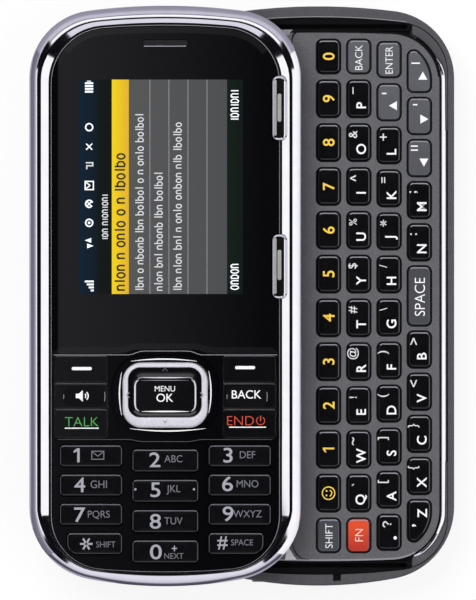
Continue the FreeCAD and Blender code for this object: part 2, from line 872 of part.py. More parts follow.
def make_deck():
    body = new_body("keyboard_deck")
    pad(body, form_sketch(body, deck_form, well_floor), deck_top - well_floor)
    cut(body, form_sketch(body, deck_form.inset(s.skirt_wall), well_floor), deck_under - well_floor)
    # the skirt stops short of the rails, which reach under the plate
    for side in (1, -1):
        cut(body, box_sketch(body, (zero, s.deck_half_length * side, well_floor),
                             (rail_outer_half + s.stop_gap) * 2, (s.rail_tuck + s.stop_gap) * 2),
            deck_under - well_floor)
    low = board_z + s.fit_gap
    for x, y in screw_places:
        pad(body, circle_sketch(body, (x, y, low), s.boss_radius), deck_under - low)
        cut(body, circle_sketch(body, (x, y, low), s.screw_shank + s.fit_gap), deck_under - low)
    key_holes(body, all_qwerty_plans, deck_under, s.deck_height)
    return body


def make_side_trim():
    """Chrome strip down both sides and round the corners, up to the ends of the rails."""
    body = new_body("side_trim")
    top = deck_top + s.trim_rise
    pad(body, form_sketch(body, well_form.inset(s.fit_gap), well_floor), top - well_floor)
    cut(body, form_sketch(body, well_form.inset(s.fit_gap + s.trim_width), well_floor), top - well_floor)
    cut(body, box_sketch(body, (zero, zero, well_floor), (rail_outer_half + s.fit_gap) * 2, far),
        top - well_floor)
    soften(body, "Chamfer", level_edges(body.Tip, top, lambda edge: edge.Length > s.trim_width.number * 2),
           s.trim_width / 4)
    return body


def make_slide_rails():
    """A channel at each end with an undercut towards the deck, closed at both ends of the travel."""
    body = new_body("slide_rails")
    top = deck_top - s.rail_drop
    pad(body, form_sketch(body, well_form.inset(s.fit_gap), well_floor), top - well_floor)
    cut(body, box_sketch(body, (zero, zero, well_floor), far, (s.deck_half_length - s.rail_tuck) * 2),
        top - well_floor)
    cut(body, box_sketch(body, (zero, zero, deck_under - s.fit_gap), far,
                         (s.deck_half_length + s.fit_gap) * 2), s.deck_height)
    for side in (1, -1):
        cut(body, box_sketch(body, ((rail_outer_half + far) / 2 * side, zero, well_floor),
                             far - rail_outer_half, far), top - well_floor)
        cut(body, rounded_sketch(body, (zero, (mouth_y + s.channel_width / 2) * side, channel_z),
                                 rail_half_length * 2, s.channel_width, s.channel_width * pill),
            deck_top - channel_z)
        cut(body, box_sketch(body, (zero, (mouth_y - s.undercut_depth / 2) * side, channel_z),
                             (rail_half_length - s.stop_gap / 2) * 2, s.undercut_depth + s.fit_gap * 2),
            s.undercut_height)
    return body


def make_main_board():
    body = new_body("main_board")
    pad(body, rounded_sketch(body, (zero, zero, board_z), board_bay_width - s.fit_gap * 4,
                             board_bay_length - s.fit_gap * 4, board_bay_corner), s.board_height)
    for x, y in screw_places:
        cut(body, circle_sketch(body, (x, y, board_z), s.boss_radius + s.stop_gap), s.board_height)
    return body


def make_qwerty_switches():
    body = new_body("qwerty_switch_sheet")
    left, right = s.column_start - s.qwerty_width / 2, column_x(3) + s.qwerty_width / 2
    corners = [board_bay_corner, s.qwerty_corner, s.qwerty_corner, board_bay_corner]
    pad(body, rounded_sketch(body, ((left + right) / 2, zero, switch_z), right - left,
                             (s.deck_half_length - s.upper_row_margin) * 2, corners), s.sheet_height)
    domes(body, all_qwerty_plans, dome_z)
    return body


def make_loudspeaker():
    body = new_body("loudspeaker")
    pad(body, rounded_sketch(body, (s.speaker_x, s.speaker_y, s.back_skin), s.speaker_width, s.speaker_length,
                             s.speaker_height / 2), s.speaker_height)
    return body


def make_camera():
    body = new_body("camera_module")
    low = s.back_skin + s.rest_gap
    pad(body, box_sketch(body, (zero, s.camera_y, low), s.camera_width, s.camera_width),
        board_z - s.fit_gap - low)
    lens_z = s.camera_window_sink + s.camera_window_height + s.rest_gap
    pad(body, circle_sketch(body, (zero, s.camera_y, lens_z), s.camera_lens), low - lens_z)
    return body


def make_camera_window():
    body = new_body("camera_window")
    pad(body, circle_sketch(body, (zero, s.camera_y, s.camera_window_sink), s.camera_window_radius),
        s.camera_window_height)
    soften(body, "Chamfer", level_edges(body.Tip, s.camera_window_sink), s.camera_window_sink)
    return body


def make_charging_port():
    body = new_body("charging_port")
    inner_end = port_mouth + s.port_depth
    corner = s.port_height / 4
    pad(body, rounded_sketch(body, (s.port_x, inner_end, port_z), s.port_width, s.port_height, corner,
                             "XZ_Plane"), s.port_depth)
    floor_y = inner_end - s.port_wall * 2
    cut(body, rounded_sketch(body, (s.port_x, floor_y, port_z), s.port_width - s.port_wall * 2,
                             s.port_height - s.port_wall * 2, corner - s.port_wall / 2, "XZ_Plane"),
        s.port_depth)
    pad(body, box_sketch(body, (s.port_x, floor_y, port_z), s.port_tongue_width, s.port_tongue,
                         "XZ_Plane"), s.port_tongue_length)
    return body


def make_headset_jack():
    body = new_body("headset_jack")
    middle_z = (jack_low + jack_high) / 2
    pad(body, box_sketch(body, (jack_block + s.fit_gap, s.jack_y, middle_z), s.jack_width,
                         jack_high - jack_low, "YZ_Plane"), s.jack_depth - s.fit_gap * 2)
    pad(body, circle_sketch(body, (jack_mouth, s.jack_y, s.jack_z), s.jack_nose, "YZ_Plane"),
        s.jack_nose_length + s.fit_gap * 2)
    cut(body, circle_sketch(body, (jack_mouth, s.jack_y, s.jack_z), s.jack_radius, "YZ_Plane"), s.jack_depth)
    return body


def make_screws():
    """Four cross-head screws that hold deck, board and housing together."""
    body = new_body("housing_screws")
    for x, y in screw_places:
        head_z = screw_head_z(y)
        pad(body, circle_sketch(body, (x, y, head_z), s.screw_head), s.screw_head_height - s.rest_gap)
        pad(body, circle_sketch(body, (x, y, head_z), s.screw_shank), deck_under - head_z - s.stop_gap)
        for width, length in ((s.screw_head, s.screw_head / 4), (s.screw_head / 4, s.screw_head)):
            cut(body, box_sketch(body, (x, y, head_z), width, length), s.screw_head_height / 2)
    return body


def make_assist_spring():
    """Flat serpentine wire that helps the halves apart, lying on the covered part of the deck."""
    body = new_body("assist_spring")
    z = deck_top + s.wire_radius + s.rest_gap
    path = new_sketch(body, "XY_Plane", s.spring_x, s.spring_y, z)
    arm, turn = s.spring_arm.number / 2, s.spring_radius.number / 2
    path.addGeometry([
        Part.LineSegment(vector(-arm, -2 * turn), vector(arm, -2 * turn)),
        arc(arm, -turn, turn, -math.pi / 2, math.pi / 2),
        Part.LineSegment(vector(arm, 0), vector(-arm, 0)),
        arc(-arm, turn, turn, math.pi / 2, 1.5 * math.pi),
        Part.LineSegment(vector(-arm, 2 * turn), vector(arm, 2 * turn)),
    ], False)
    for first, first_end, second, second_end in ((0, end, 1, start), (1, end, 2, start),
                                                 (2, end, 3, end), (3, start, 4, start)):
        constrain(path, "Tangent", first, first_end, second, second_end)
    for index in (0, 2, 4):
        constrain(path, "Horizontal", index)
    constrain(path, "DistanceX", *origin_vertex, 2, start, size=s.spring_arm / 2)
    constrain(path, "DistanceX", *origin_vertex, 2, end, size=s.spring_arm / -2)
    constrain(path, "DistanceY", *origin_vertex, 2, start, size=0)
    for index in (1, 3):
        constrain(path, "Radius", index, size=s.spring_radius / 2)
    constrain(path, "DistanceX", *origin_vertex, 0, start, size=s.spring_arm / -2)
    constrain(path, "DistanceX", *origin_vertex, 4, end, size=s.spring_arm / 2)
    profile = circle_sketch(body, (s.spring_x - s.spring_arm / 2, s.spring_y - s.spring_radius, z),
                            s.wire_radius, "YZ_Plane")
    pipe = body.newObject("PartDesign::AdditivePipe", "wire")
    pipe.Profile = profile
    pipe.Spine = (path, [f"Edge{index}" for index in range(1, 6)])
    return body


def make_flex_cable():
    """Ribbon that carries the signals between the halves, folded back over itself."""
    body = new_body("flex_cable")
    low = deck_top + s.rest_gap
    high = plate_z - deck_top - s.rest_gap * 4
    middle_z = low + high / 2
    back_y = s.ribbon_y + s.ribbon_width / 2
    place = (s.ribbon_x - s.ribbon_length / 2, back_y, middle_z)
    pad(body, rounded_sketch(body, place, s.ribbon_length, high, high * pill, "XZ_Plane"), s.ribbon_width)
    inner = high - s.ribbon_height * 2
    cut(body, rounded_sketch(body, place, s.ribbon_length - s.ribbon_height * 2, inner, inner * pill,
                             "XZ_Plane"), s.ribbon_width)
    cut(body, box_sketch(body, (s.ribbon_x, back_y, middle_z), high * 2, high * 2, "XZ_Plane"),
        s.ribbon_width)
    return body


def make_side_key(label, y, length):
    """A pill in the left flank with a flange behind the wall."""
    body = new_body(label)
    inner = s.side_key_wall + s.rest_gap + s.flange_height - s.half_width
    outer = -s.half_width - s.side_key_rise
    pad(body, side_key_plan(body, y, length, outer, zero), inner - outer)
    pad(body, side_key_plan(body, y, length, inner - s.flange_height, s.flange_width), s.flange_height)
    face = outer.number
    soften(body, "Fillet", edges_where(body.Tip, lambda edge: edge.BoundBox.XMax < face + 0.001),
           s.side_key_rise / 2)
    return body


lower_half = [
    make_rear_housing(), make_battery_cover(), make_battery(), make_deck(), make_side_trim(),
    make_slide_rails(), make_main_board(), make_qwerty_switches(), make_loudspeaker(), make_camera(),
    make_camera_window(), make_charging_port(), make_headset_jack(), make_screws(), make_assist_spring(),
    make_flex_cable(),
    make_side_key("volume_key", s.volume_y, s.volume_length),
    make_side_key("camera_key", s.camera_key_y, s.camera_key_length),
]
for label, plans in qwerty_plans.items():
    lower_half.append(key_body(label, plans, flange_z, qwerty_top, s.qwerty_bevel, s.flange_width))


# ---- display half -----------------------------------------------------------------------

carriage_x = s.slide_travel / 2
panel_z = face_under - s.rest_gap - s.panel_height
ear_z = face_under - s.rest_gap - s.ear_body_height
nav_well_floor = nav_face_top - s.nav_well_depth
cluster_outer = s.face_half_width - s.cluster_side
cluster_top = -s.window_bottom - s.nav_margin
cluster_bottom = s.nav_margin - s.nav_bottom
cluster_x = (cluster_outer + s.cluster_inner) / 2
cluster_width = cluster_outer - s.cluster_inner
screen_key_z = shoulder_top + s.key_travel + s.rest_gap
screen_key_rows = {"screen_key_upper": s.screen_key_upper_y, "screen_key_lower": s.screen_key_lower_y}
inner_face = face_form.inset(s.fit_gap)


def swell(y, rise):
    """Four points, from right to left, of an edge that steps by rise round the navigation ring."""
    outer = s.swell_half_width + s.swell_run
    return [(outer, y), (s.swell_half_width, y + rise), (-s.swell_half_width, y + rise), (-outer, y)]


def upright_edges(feature, points):
    """The vertical edges that stand at the given points."""
    places = [(number(x), number(y)) for x, y in points]

    def stands_at(edge):
        box = edge.BoundBox
        return box.XLength + box.YLength < 0.001 and any(
            math.hypot(box.XMin - x, box.YMin - y) < 0.001 for x, y in places)
    return edges_where(feature, stands_at)


def below(y, rise):
    """A region that reaches far below a swelling edge."""
    return [(far, y), (far, -far), (-far, -far), (-far, y)] + swell(y, rise)[::-1]


def above(y, rise):
    """A region that reaches far above a swelling edge."""
    return [(-far, y), (-far, far), (far, far), (far, y)] + swell(y, rise)


def screen_key_cuts(body, low, high):
    for y in screen_key_rows.values():
        cut(body, rounded_sketch(body, (s.screen_key_x, y, low), s.screen_key_width + s.key_gap * 2,
                                 s.screen_key_length + s.key_gap * 2, s.screen_key_width * pill), high - low)


class PadColumn:
    """Four number keys in a column, spread evenly between its margins."""

    def __init__(self, x, width, top_margin, bottom_margin):
        self.x = x
        self.width = width
        self.top = -s.nav_bottom - top_margin
        bottom = bottom_margin - s.face_bottom
        self.pitch = (self.top - bottom + s.pad_web) / 4
        self.length = self.pitch - s.pad_web

    def key(self, row, trim_side=0):
        """The key in a row; trim_side shortens it at the rounded corner of the face."""
        y = self.top - self.length / 2 - self.pitch * row
        corner, round_corner = s.pad_key_corner, s.pad_corner_round
        if not trim_side:
            return Key(self.x, y, self.width, self.length, corner)
        corners = [corner, corner, round_corner, corner] if trim_side < 0 else [corner] * 3 + [round_corner]
        return Key(self.x - s.corner_key_trim / 2 * trim_side, y, self.width - s.corner_key_trim,
                   self.length, corners)


side_margins = (s.side_top_margin, s.side_bottom_margin)
left_column = PadColumn(-s.pad_column_x, s.side_key_width, *side_margins)
middle_column = PadColumn(zero, s.middle_key_width, s.middle_top_margin, s.middle_bottom_margin)
right_column = PadColumn(s.pad_column_x, s.side_key_width, *side_margins)
pad_plans = {}
for row in range(3):
    for column, pad_column in enumerate((left_column, middle_column, right_column)):
        pad_plans[f"key_{row * 3 + column + 1}"] = pad_column.key(row)
pad_plans["key_star"] = left_column.key(3, -1)
pad_plans["key_0"] = middle_column.key(3)
pad_plans["key_hash"] = right_column.key(3, 1)

# the three keys of each navigation cluster, from the top down
lower_key_length = cluster_top - cluster_bottom - s.soft_key_length - s.middle_key_length
cluster_rows = [s.soft_key_length, s.middle_key_length, lower_key_length]
cluster_names = {-1: ["soft_key_left", "speaker_key", "talk_key"],
                 1: ["soft_key_right", "clear_key", "end_key"]}
cluster_plans = {}
for side, names in cluster_names.items():
    y = cluster_top
    for name, length in zip(names, cluster_rows):
        cluster_plans[name] = Key(cluster_x * side, y - length / 2, cluster_width, length, s.cluster_corner)
        y = y - length

ring_plan = Key(zero, s.nav_y, s.ring_width, s.ring_length, s.ring_corner)
ok_plan = Key(zero, s.nav_y, s.ok_width, s.ok_length, s.ok_corner)


def make_back_plate():
    body = new_body("back_plate")
    pad(body, form_sketch(body, shell_form.inset(s.plate_inset), plate_z), s.plate_height)
    soften(body, "Chamfer", level_edges(body.Tip, plate_z), s.plate_bevel)
    recess = s.carriage_height + s.rest_gap
    cut(body, box_sketch(body, (carriage_x, zero, plate_z), s.carriage_width + s.fit_gap * 2,
                         s.carriage_length + s.fit_gap * 2), recess)
    cut(body, box_sketch(body, (carriage_x, zero, plate_z), s.carriage_arm + s.fit_gap * 2,
                         (mouth_y + s.channel_width) * 2), recess)
    # ribs that carry the keypad board, the display and the earpiece
    for x, y, length, top in ((s.pad_column_x, (s.window_bottom + s.face_bottom) / -2,
                               s.pad_rib_length, pad_board_z),
                              (s.screen_width / 3, s.panel_y, s.screen_length, panel_z),
                              (s.ear_body_width / 3, s.ear_y, s.ear_body_length, ear_z)):
        for side in (1, -1):
            pad(body, box_sketch(body, (x * side, y, plate_top), s.rib_width, length), top - plate_top)
    return body


def make_carriage():
    """Steel plate under the display half with a hooked foot in each rail."""
    body = new_body("slide_carriage")
    pad(body, box_sketch(body, (carriage_x, zero, plate_z), s.carriage_width, s.carriage_length),
        s.carriage_height)
    stem_y = mouth_y + s.channel_width / 2
    stem_width = s.channel_width - s.rail_gap * 2
    arm_length = (stem_y + stem_width / 2) * 2
    pad(body, box_sketch(body, (carriage_x, zero, plate_z), s.carriage_arm, arm_length), s.carriage_height)
    for side in (1, -1):
        cut(body, rounded_sketch(body, (carriage_x, s.carriage_length / 4 * side, plate_z), s.carriage_window,
                                 s.carriage_window_length, s.stop_gap * 5), s.carriage_height)
        pad(body, rounded_sketch(body, (carriage_x, stem_y * side, foot_z), s.foot_length, stem_width,
                                 stem_width * pill), plate_z - foot_z)
        hook_y = stem_y - (s.undercut_depth + stem_width) / 2
        pad(body, box_sketch(body, (carriage_x, hook_y * side, foot_z), s.foot_length - s.stop_gap * 2,
                             s.undercut_depth), s.undercut_height - s.rail_gap * 2)
    return body


def make_front_housing():
    body = new_body("front_housing")
    pad(body, form_sketch(body, shell_form.inset(s.flank_inset), plate_top), s.flank_height)
    pad(body, form_sketch(body, shell_form.inset(s.shoulder_inset), flank_top), shoulder_top - flank_top)
    pad(body, form_sketch(body, inner_face, shoulder_top), nav_face_top - shoulder_top)
    # seat of the window above the navigation keys, lower face below them
    window_edge = swell(-s.window_bottom, s.window_swell)
    cut(body, polygon_sketch(body, above(-s.window_bottom, s.window_swell), (zero, zero, shoulder_top)),
        nav_face_top - shoulder_top)
    pad_edge = swell(-s.nav_bottom, -s.nav_swell)
    cut(body, polygon_sketch(body, below(-s.nav_bottom, -s.nav_swell), (zero, zero, pad_face_top)),
        s.nav_rise)
    soften(body, "Fillet", upright_edges(body.Tip, window_edge + pad_edge), s.swell_run * 2)
    cut(body, form_sketch(body, shell_form.inset(s.cavity_inset), plate_top), face_under - plate_top)
    cut(body, box_sketch(body, (s.panel_x, s.panel_y, face_under), s.screen_width + s.stop_gap * 2,
                         s.screen_length + s.stop_gap * 2), s.shoulder_skin)
    cut(body, ear_slot(body, face_under, -s.stop_gap), s.shoulder_skin)
    # holes for the keys
    for side in (1, -1):
        cut(body, rounded_sketch(body, (cluster_x * side, (cluster_top + cluster_bottom) / 2, face_under),
                                 cluster_width, cluster_top - cluster_bottom, s.cluster_corner),
            nav_face_top - face_under)
    cut(body, rounded_sketch(body, (zero, s.nav_y, nav_well_floor), s.well_width, s.well_length,
                             s.well_round), s.nav_well_depth)
    cut(body, ring_plan.grown(body, face_under, s.key_gap), nav_well_floor - face_under)
    key_holes(body, pad_plans.values(), face_under, pad_face_top - face_under)
    return body


def ear_slot(body, z, growth):
    return rounded_sketch(body, (zero, s.ear_y, z), s.ear_width + growth * 2, s.ear_slot + growth * 2,
                          s.ear_slot * pill + growth)


def on_band_outside(edge):
    return reaches_past(edge, (s.face_half_width + s.half_width) / 2, (s.face_bottom + s.half_length) / 2)


def make_chrome_band():
    """Half-round chrome rim of the display half, and the thin ring round the navigation key."""
    body = new_body("chrome_band")
    pad(body, form_sketch(body, shell_form, flank_top), band_top - flank_top)
    cut(body, form_sketch(body, face_form, flank_top), band_top - flank_top)
    cut(body, form_sketch(body, shell_form.inset(s.shoulder_inset - s.fit_gap), flank_top),
        shoulder_top + s.rest_gap - flank_top)
    soften(body, "Fillet", level_edges(body.Tip, band_top, lambda edge: not on_band_outside(edge)),
           s.band_lip_round)
    soften(body, "Fillet", level_edges(body.Tip, band_top, on_band_outside), s.band_round)
    screen_key_cuts(body, shoulder_top, band_top)
    pad(body, ring_plan.grown(body, nav_well_floor, s.ring_trim_gap + s.ring_trim_wall), s.ring_trim_rise)
    cut(body, ring_plan.grown(body, nav_well_floor, s.ring_trim_gap), s.ring_trim_rise)
    return body


def make_window():
    """Clear cover over the display, bevelled to its edges, with the slot for the earpiece."""
    body = new_body("display_window")
    pad(body, form_sketch(body, inner_face, window_z), s.window_height)
    edge_y = s.fit_gap - s.window_bottom
    cut(body, polygon_sketch(body, below(edge_y, s.window_swell), (zero, zero, window_z)), s.window_height)
    soften(body, "Fillet", upright_edges(body.Tip, swell(edge_y, s.window_swell)), s.swell_run * 2)
    soften(body, "Chamfer", level_edges(body.Tip, window_top), s.window_bevel_height, s.window_bevel)
    cut(body, ear_slot(body, window_z, zero), s.window_height)
    screen_key_cuts(body, window_z, window_top)
    return body


def make_panel():
    """Display module, with its glass raised into the opening of the housing."""
    body = new_body("display_panel")
    border = s.panel_border * 2
    pad(body, box_sketch(body, (s.panel_x, s.panel_y, panel_z), s.screen_width + border,
                         s.screen_length + border), s.panel_height)
    glass_z = panel_z + s.panel_height
    pad(body, box_sketch(body, (s.panel_x, s.panel_y, glass_z), s.screen_width, s.screen_length),
        shoulder_top - s.rest_gap - glass_z)
    return body


def make_earpiece():
    body = new_body("earpiece")
    pad(body, rounded_sketch(body, (zero, s.ear_y, ear_z), s.ear_body_width, s.ear_body_length,
                             s.ear_body_length * pill), s.ear_body_height)
    return body


def make_grille():
    body = new_body("earpiece_grille")
    pad(body, ear_slot(body, window_z, -s.fit_gap), s.window_height - s.grille_sink)
    return body


def keypad_layer(body, z, height, inset):
    """A sheet that fills the lower part of the cavity, short of the display module."""
    pad(body, form_sketch(body, shell_form.inset(s.cavity_inset + inset), z), height)
    edge_y = s.panel_border - s.window_bottom
    cut(body, box_sketch(body, (zero, (edge_y + far) / 2, z), far, far - edge_y), height)


def make_keypad_board():
    body = new_body("keypad_board")
    keypad_layer(body, pad_board_z, s.board_height, s.stop_gap)
    return body


def make_keypad_switches():
    """Switch sheet with a dome under every key and one under each side of the navigation ring."""
    body = new_body("keypad_switch_sheet")
    keypad_layer(body, pad_switch_z, s.sheet_height, s.stop_gap * 2)
    domes(body, [*pad_plans.values(), *cluster_plans.values(), ok_plan], pad_dome_z)
    ring_dome_y = (s.ring_length + s.ok_length) / 4
    ring_dome_x = (s.ring_width + s.ok_width) / 4
    for x, y in ((zero, ring_dome_y), (zero, -ring_dome_y), (ring_dome_x, zero), (-ring_dome_x, zero)):
        pad(body, circle_sketch(body, (x, s.nav_y + y, pad_dome_z), s.dome_radius / 2), s.dome_height)
    return body


def make_cluster_key(label, plan):
    """A key beside the ring, held by a tab at each side instead of a flange all round."""
    body = key_body(label, [plan], pad_flange_z, nav_face_top + s.cluster_rise, s.cluster_bevel)
    pad(body, box_sketch(body, (plan.x, plan.y, pad_flange_z), plan.width + s.flange_width * 2,
                         plan.length / 2), s.flange_height)
    return body


def make_nav_ring():
    """Rocker with four directions and an ear at each side, open in the middle for the OK key."""
    body = new_body("nav_ring")
    top = nav_face_top + s.ring_rise
    pad(body, ring_plan.grown(body, pad_flange_z, zero), top - pad_flange_z)
    pad(body, box_sketch(body, (zero, s.nav_y, pad_flange_z), s.ring_width + s.flange_width * 4,
                         s.ring_ear_length), s.flange_height)
    cut(body, ok_plan.grown(body, pad_flange_z, zero), top - pad_flange_z)
    soften(body, "Chamfer", level_edges(body.Tip, top), s.ring_bevel)
    return body


def make_screen_key(label, y):
    body = new_body(label)
    pad(body, rounded_sketch(body, (s.screen_key_x, y, screen_key_z), s.screen_key_width,
                             s.screen_key_length, s.screen_key_width * pill), s.screen_key_height)
    top = screen_key_z + s.screen_key_height
    soften(body, "Chamfer", level_edges(body.Tip, top), s.screen_key_bevel)
    return body


upper_half = [
    make_back_plate(), make_carriage(), make_front_housing(), make_chrome_band(), make_window(),
    make_panel(), make_earpiece(), make_grille(), make_keypad_board(), make_keypad_switches(),
    make_nav_ring(),
    key_body("ok_key", [ok_plan], pad_flange_z, nav_face_top + s.ok_rise, s.ok_bevel),
]
for label, plan in cluster_plans.items():
    upper_half.append(make_cluster_key(label, plan))
for label, plan in pad_plans.items():
    upper_half.append(key_body(label, [plan], pad_flange_z, pad_face_top + s.pad_key_rise, s.pad_key_bevel,
                               s.flange_width))
for label, y in screen_key_rows.items():
    upper_half.append(make_screen_key(label, y))


# ---- placing, checking and writing ------------------------------------------------------

for bodies, offset in ((lower_half, s.slide_travel / 2), (upper_half, s.slide_travel / -2)):
    for body in bodies:
        bind(body, "Placement.Base.x", offset)
document.recompute()

failed = [thing.Label for thing in document.Objects if {"Invalid", "Error"} & set(thing.State)]
if failed:
    raise RuntimeError(f"not built: {failed}")
for body in lower_half + upper_half:
    if body.Shape.isNull() or not body.Shape.isValid():
        raise RuntimeError(f"bad shape: {body.Label}")
for body in lower_half + upper_half:
    body.Shape.exportStep(f"parts/{body.Label}.step")
    print(body.Label, len(body.Shape.Solids), round(body.Shape.Volume, 2))
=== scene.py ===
from itertools import groupby
from math import atan2, cos, degrees, hypot, pi, radians, sin, sqrt

import bmesh
import bpy
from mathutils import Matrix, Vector


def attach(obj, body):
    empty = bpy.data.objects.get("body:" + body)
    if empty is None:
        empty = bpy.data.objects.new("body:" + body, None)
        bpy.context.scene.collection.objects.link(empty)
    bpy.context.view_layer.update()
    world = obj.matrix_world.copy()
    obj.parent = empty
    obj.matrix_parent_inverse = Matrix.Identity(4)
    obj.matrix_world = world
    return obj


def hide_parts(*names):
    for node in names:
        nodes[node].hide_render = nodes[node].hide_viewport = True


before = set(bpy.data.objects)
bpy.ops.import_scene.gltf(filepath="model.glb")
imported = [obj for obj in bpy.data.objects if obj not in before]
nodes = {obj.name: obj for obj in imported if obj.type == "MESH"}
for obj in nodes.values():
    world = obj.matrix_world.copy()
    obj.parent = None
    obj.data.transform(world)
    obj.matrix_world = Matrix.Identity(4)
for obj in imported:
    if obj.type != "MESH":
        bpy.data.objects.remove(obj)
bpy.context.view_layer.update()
mm = 0.001
print("frame loaded:", len(nodes), "nodes")


# one socket of a node tree, so that shader maths reads like plain Python
class Wire:
    def __init__(self, finish, socket):
        self.finish, self.socket = finish, socket

    def maths(self, operation, *terms):
        return self.finish.add("ShaderNodeMath", {"operation": operation}, dict(enumerate(terms)))

    def __add__(self, other):
        return self.maths("ADD", self, other)

    __radd__ = __add__

    def __mul__(self, other):
        return self.maths("MULTIPLY", self, other)

    __rmul__ = __mul__

    def __sub__(self, other):
        return self.maths("SUBTRACT", self, other)

    def __rsub__(self, other):
        return self.maths("SUBTRACT", other, self)

    def __gt__(self, other):
        return self.maths("GREATER_THAN", self, other)

    def __lt__(self, other):
        return self.maths("LESS_THAN", self, other)

    def clamped(self, low=0, high=1):
        return self.finish.add("ShaderNodeClamp", {}, {0: self, 1: low, 2: high})

    # 0 below low, 1 above high, with a soft step between them
    def step(self, low, high):
        return self.finish.add("ShaderNodeMapRange", {"interpolation_type": "SMOOTHSTEP"},
                               {0: self, 1: low, 2: high})


# a node tree being written: add() makes any node, its settings first and then its sockets
class Finish:
    def __init__(self, owner):
        owner.use_nodes = True
        self.owner, self.tree = owner, owner.node_tree
        self.tree.nodes.clear()

    def add(self, kind, settings=None, sockets=None, out=0):
        node = self.tree.nodes.new(kind)
        for name, value in (settings or {}).items():
            if name == "stops":
                ramp = node.color_ramp.elements
                ramp.remove(ramp[-1])
                ramp[0].position, ramp[0].color = value[0]
                for position, colour in value[1:]:
                    ramp.new(position).color = colour
            else:
                setattr(node, name, value)
        for name, value in (sockets or {}).items():
            if isinstance(value, Wire):
                self.tree.links.new(value.socket, node.inputs[name])
            else:
                node.inputs[name].default_value = value
        wires = [Wire(self, socket) for socket in node.outputs]
        return [wires[i] for i in out] if isinstance(out, tuple) else wires[out] if wires else None

    def blended(self, amount, first, second):
        return self.add("ShaderNodeMix", {"data_type": "RGBA"}, {0: amount, 6: first, 7: second}, out=2)

    def place(self):
        return self.add("ShaderNodeTexCoord", out=3)

    def parts(self, vector):
        return self.add("ShaderNodeSeparateXYZ", {}, {0: vector}, out=(0, 1, 2))

    def noise(self, size, detail=2, where=None):
        return self.add("ShaderNodeTexNoise", {}, {
            "Vector": where or self.place(), "Scale": 1 / (size * mm), "Detail": detail})

    # how far a point lies between two places along one axis
    def share(self, axis, first, last):
        coordinate = self.parts(self.place())["xyz".index(axis)]
        return ((coordinate - first * mm) * (1 / ((last - first) * mm))).clamped()

    # a tint that turns into another along one axis
    def faded(self, tint, fade):
        return self.blended(self.share(*fade[:3]), tint, rgb(fade[3])) if fade else tint

    def bump(self, height, depth):
        return self.add("ShaderNodeBump", {}, {"Height": height, "Distance": depth * mm, "Strength": 1})

    # light path outputs: camera ray, glossy ray and ray passed through
    def rays(self):
        return self.add("ShaderNodeLightPath", out=(0, 3, 4))

    def mixed(self, amount, first, second):
        return self.add("ShaderNodeMixShader", {}, {0: amount, 1: first, 2: second})

    def output(self, shader, kind="ShaderNodeOutputMaterial"):
        self.add(kind, {}, {"Surface": shader})
        return self.owner

    def principled(self, sockets):
        return self.output(self.add("ShaderNodeBsdfPrincipled", {}, sockets))


def newFinish(name):
    return Finish(bpy.data.materials.new(name))


def rgb(text):
    # a colour written as on screen, such as "5a5a5e", in linear light
    values = [int(text[i:i + 2], 16) / 255 for i in (0, 2, 4)]
    return tuple(v / 12.92 if v < 0.04045 else ((v + 0.055) / 1.055) ** 2.4 for v in values) + (1,)


def shade(colour, factor, lift=0):
    return tuple(min(1, c * factor + lift) for c in colour[:3]) + (1,)


# moulded plastic: fine grain in the mould, a little mottling, and specks where they are asked for
def mouldedPlastic(name, colour, roughness, specks=0, grain=0.18, depth=0.006, coat=0, fade=None, shine=0.5):
    f, base, mottle = newFinish(name), rgb(colour), 0.12
    tint = f.faded(f.blended(f.noise(2.4, 3), shade(base, 1 - mottle), shade(base, 1 + mottle)), fade)
    fine = f.noise(grain, 4)
    if specks:
        tint = f.blended(fine.step(0.52, 0.72), tint, shade(base, 1 + specks, 0.01))
        tint = f.blended(fine.step(0.46, 0.3), tint, shade(base, 1 - specks * 0.6))
    return f.principled({
        "Base Color": tint, "Roughness": f.noise(1.1) * 0.12 + (roughness - 0.06),
        "Specular IOR Level": shine, "Coat Weight": coat, "Coat Roughness": 0.06,
        "Normal": f.bump(fine, depth)})


# polished or plated metal, with faint wipe marks in its gloss
def platedMetal(name, colour, roughness, brushed=0):
    f, base = newFinish(name), rgb(colour)
    wiped = f.noise(3, 4)
    stretched = f.add("ShaderNodeMapping", {}, {"Vector": f.place(), "Scale": (12, 1, 12)})
    return f.principled({
        "Base Color": f.blended(wiped, shade(base, 0.86), base), "Metallic": 1,
        "Roughness": (wiped * 0.06 + (roughness - 0.02)).clamped(0.02, 1),
        "Normal": f.bump(f.noise(1, 2, stretched), brushed)})


# polished black plastic or glass, with a thin clear layer and faint dust
def pianoBlack(name, colour, roughness, fade=None, edge=None, shine=1):
    f, base = newFinish(name), rgb(colour)
    dust = f.noise(0.5, 5).step(0.66, 0.8)
    return f.principled({
        "Base Color": f.blended(dust, f.faded(f.faded(base, fade), edge), shade(base, 1.6, 0.004)),
        "Roughness": f.noise(9, 3) * 0.05 + roughness, "Specular IOR Level": 0.5 * shine,
        "Coat Weight": shine, "Coat Roughness": 0.03, "Normal": f.bump(f.noise(14, 1), 0.004)})


# print, lit marks and painted highlight lines: flat colour with a faint light of its own
def markOrHighlight(name, colour, roughness, glow=0):
    f, base = newFinish(name), rgb(colour)
    tint = f.blended(f.noise(0.35, 3), shade(base, 0.88), base)
    return f.principled({
        "Base Color": tint, "Roughness": roughness, "Emission Color": tint, "Emission Strength": glow})


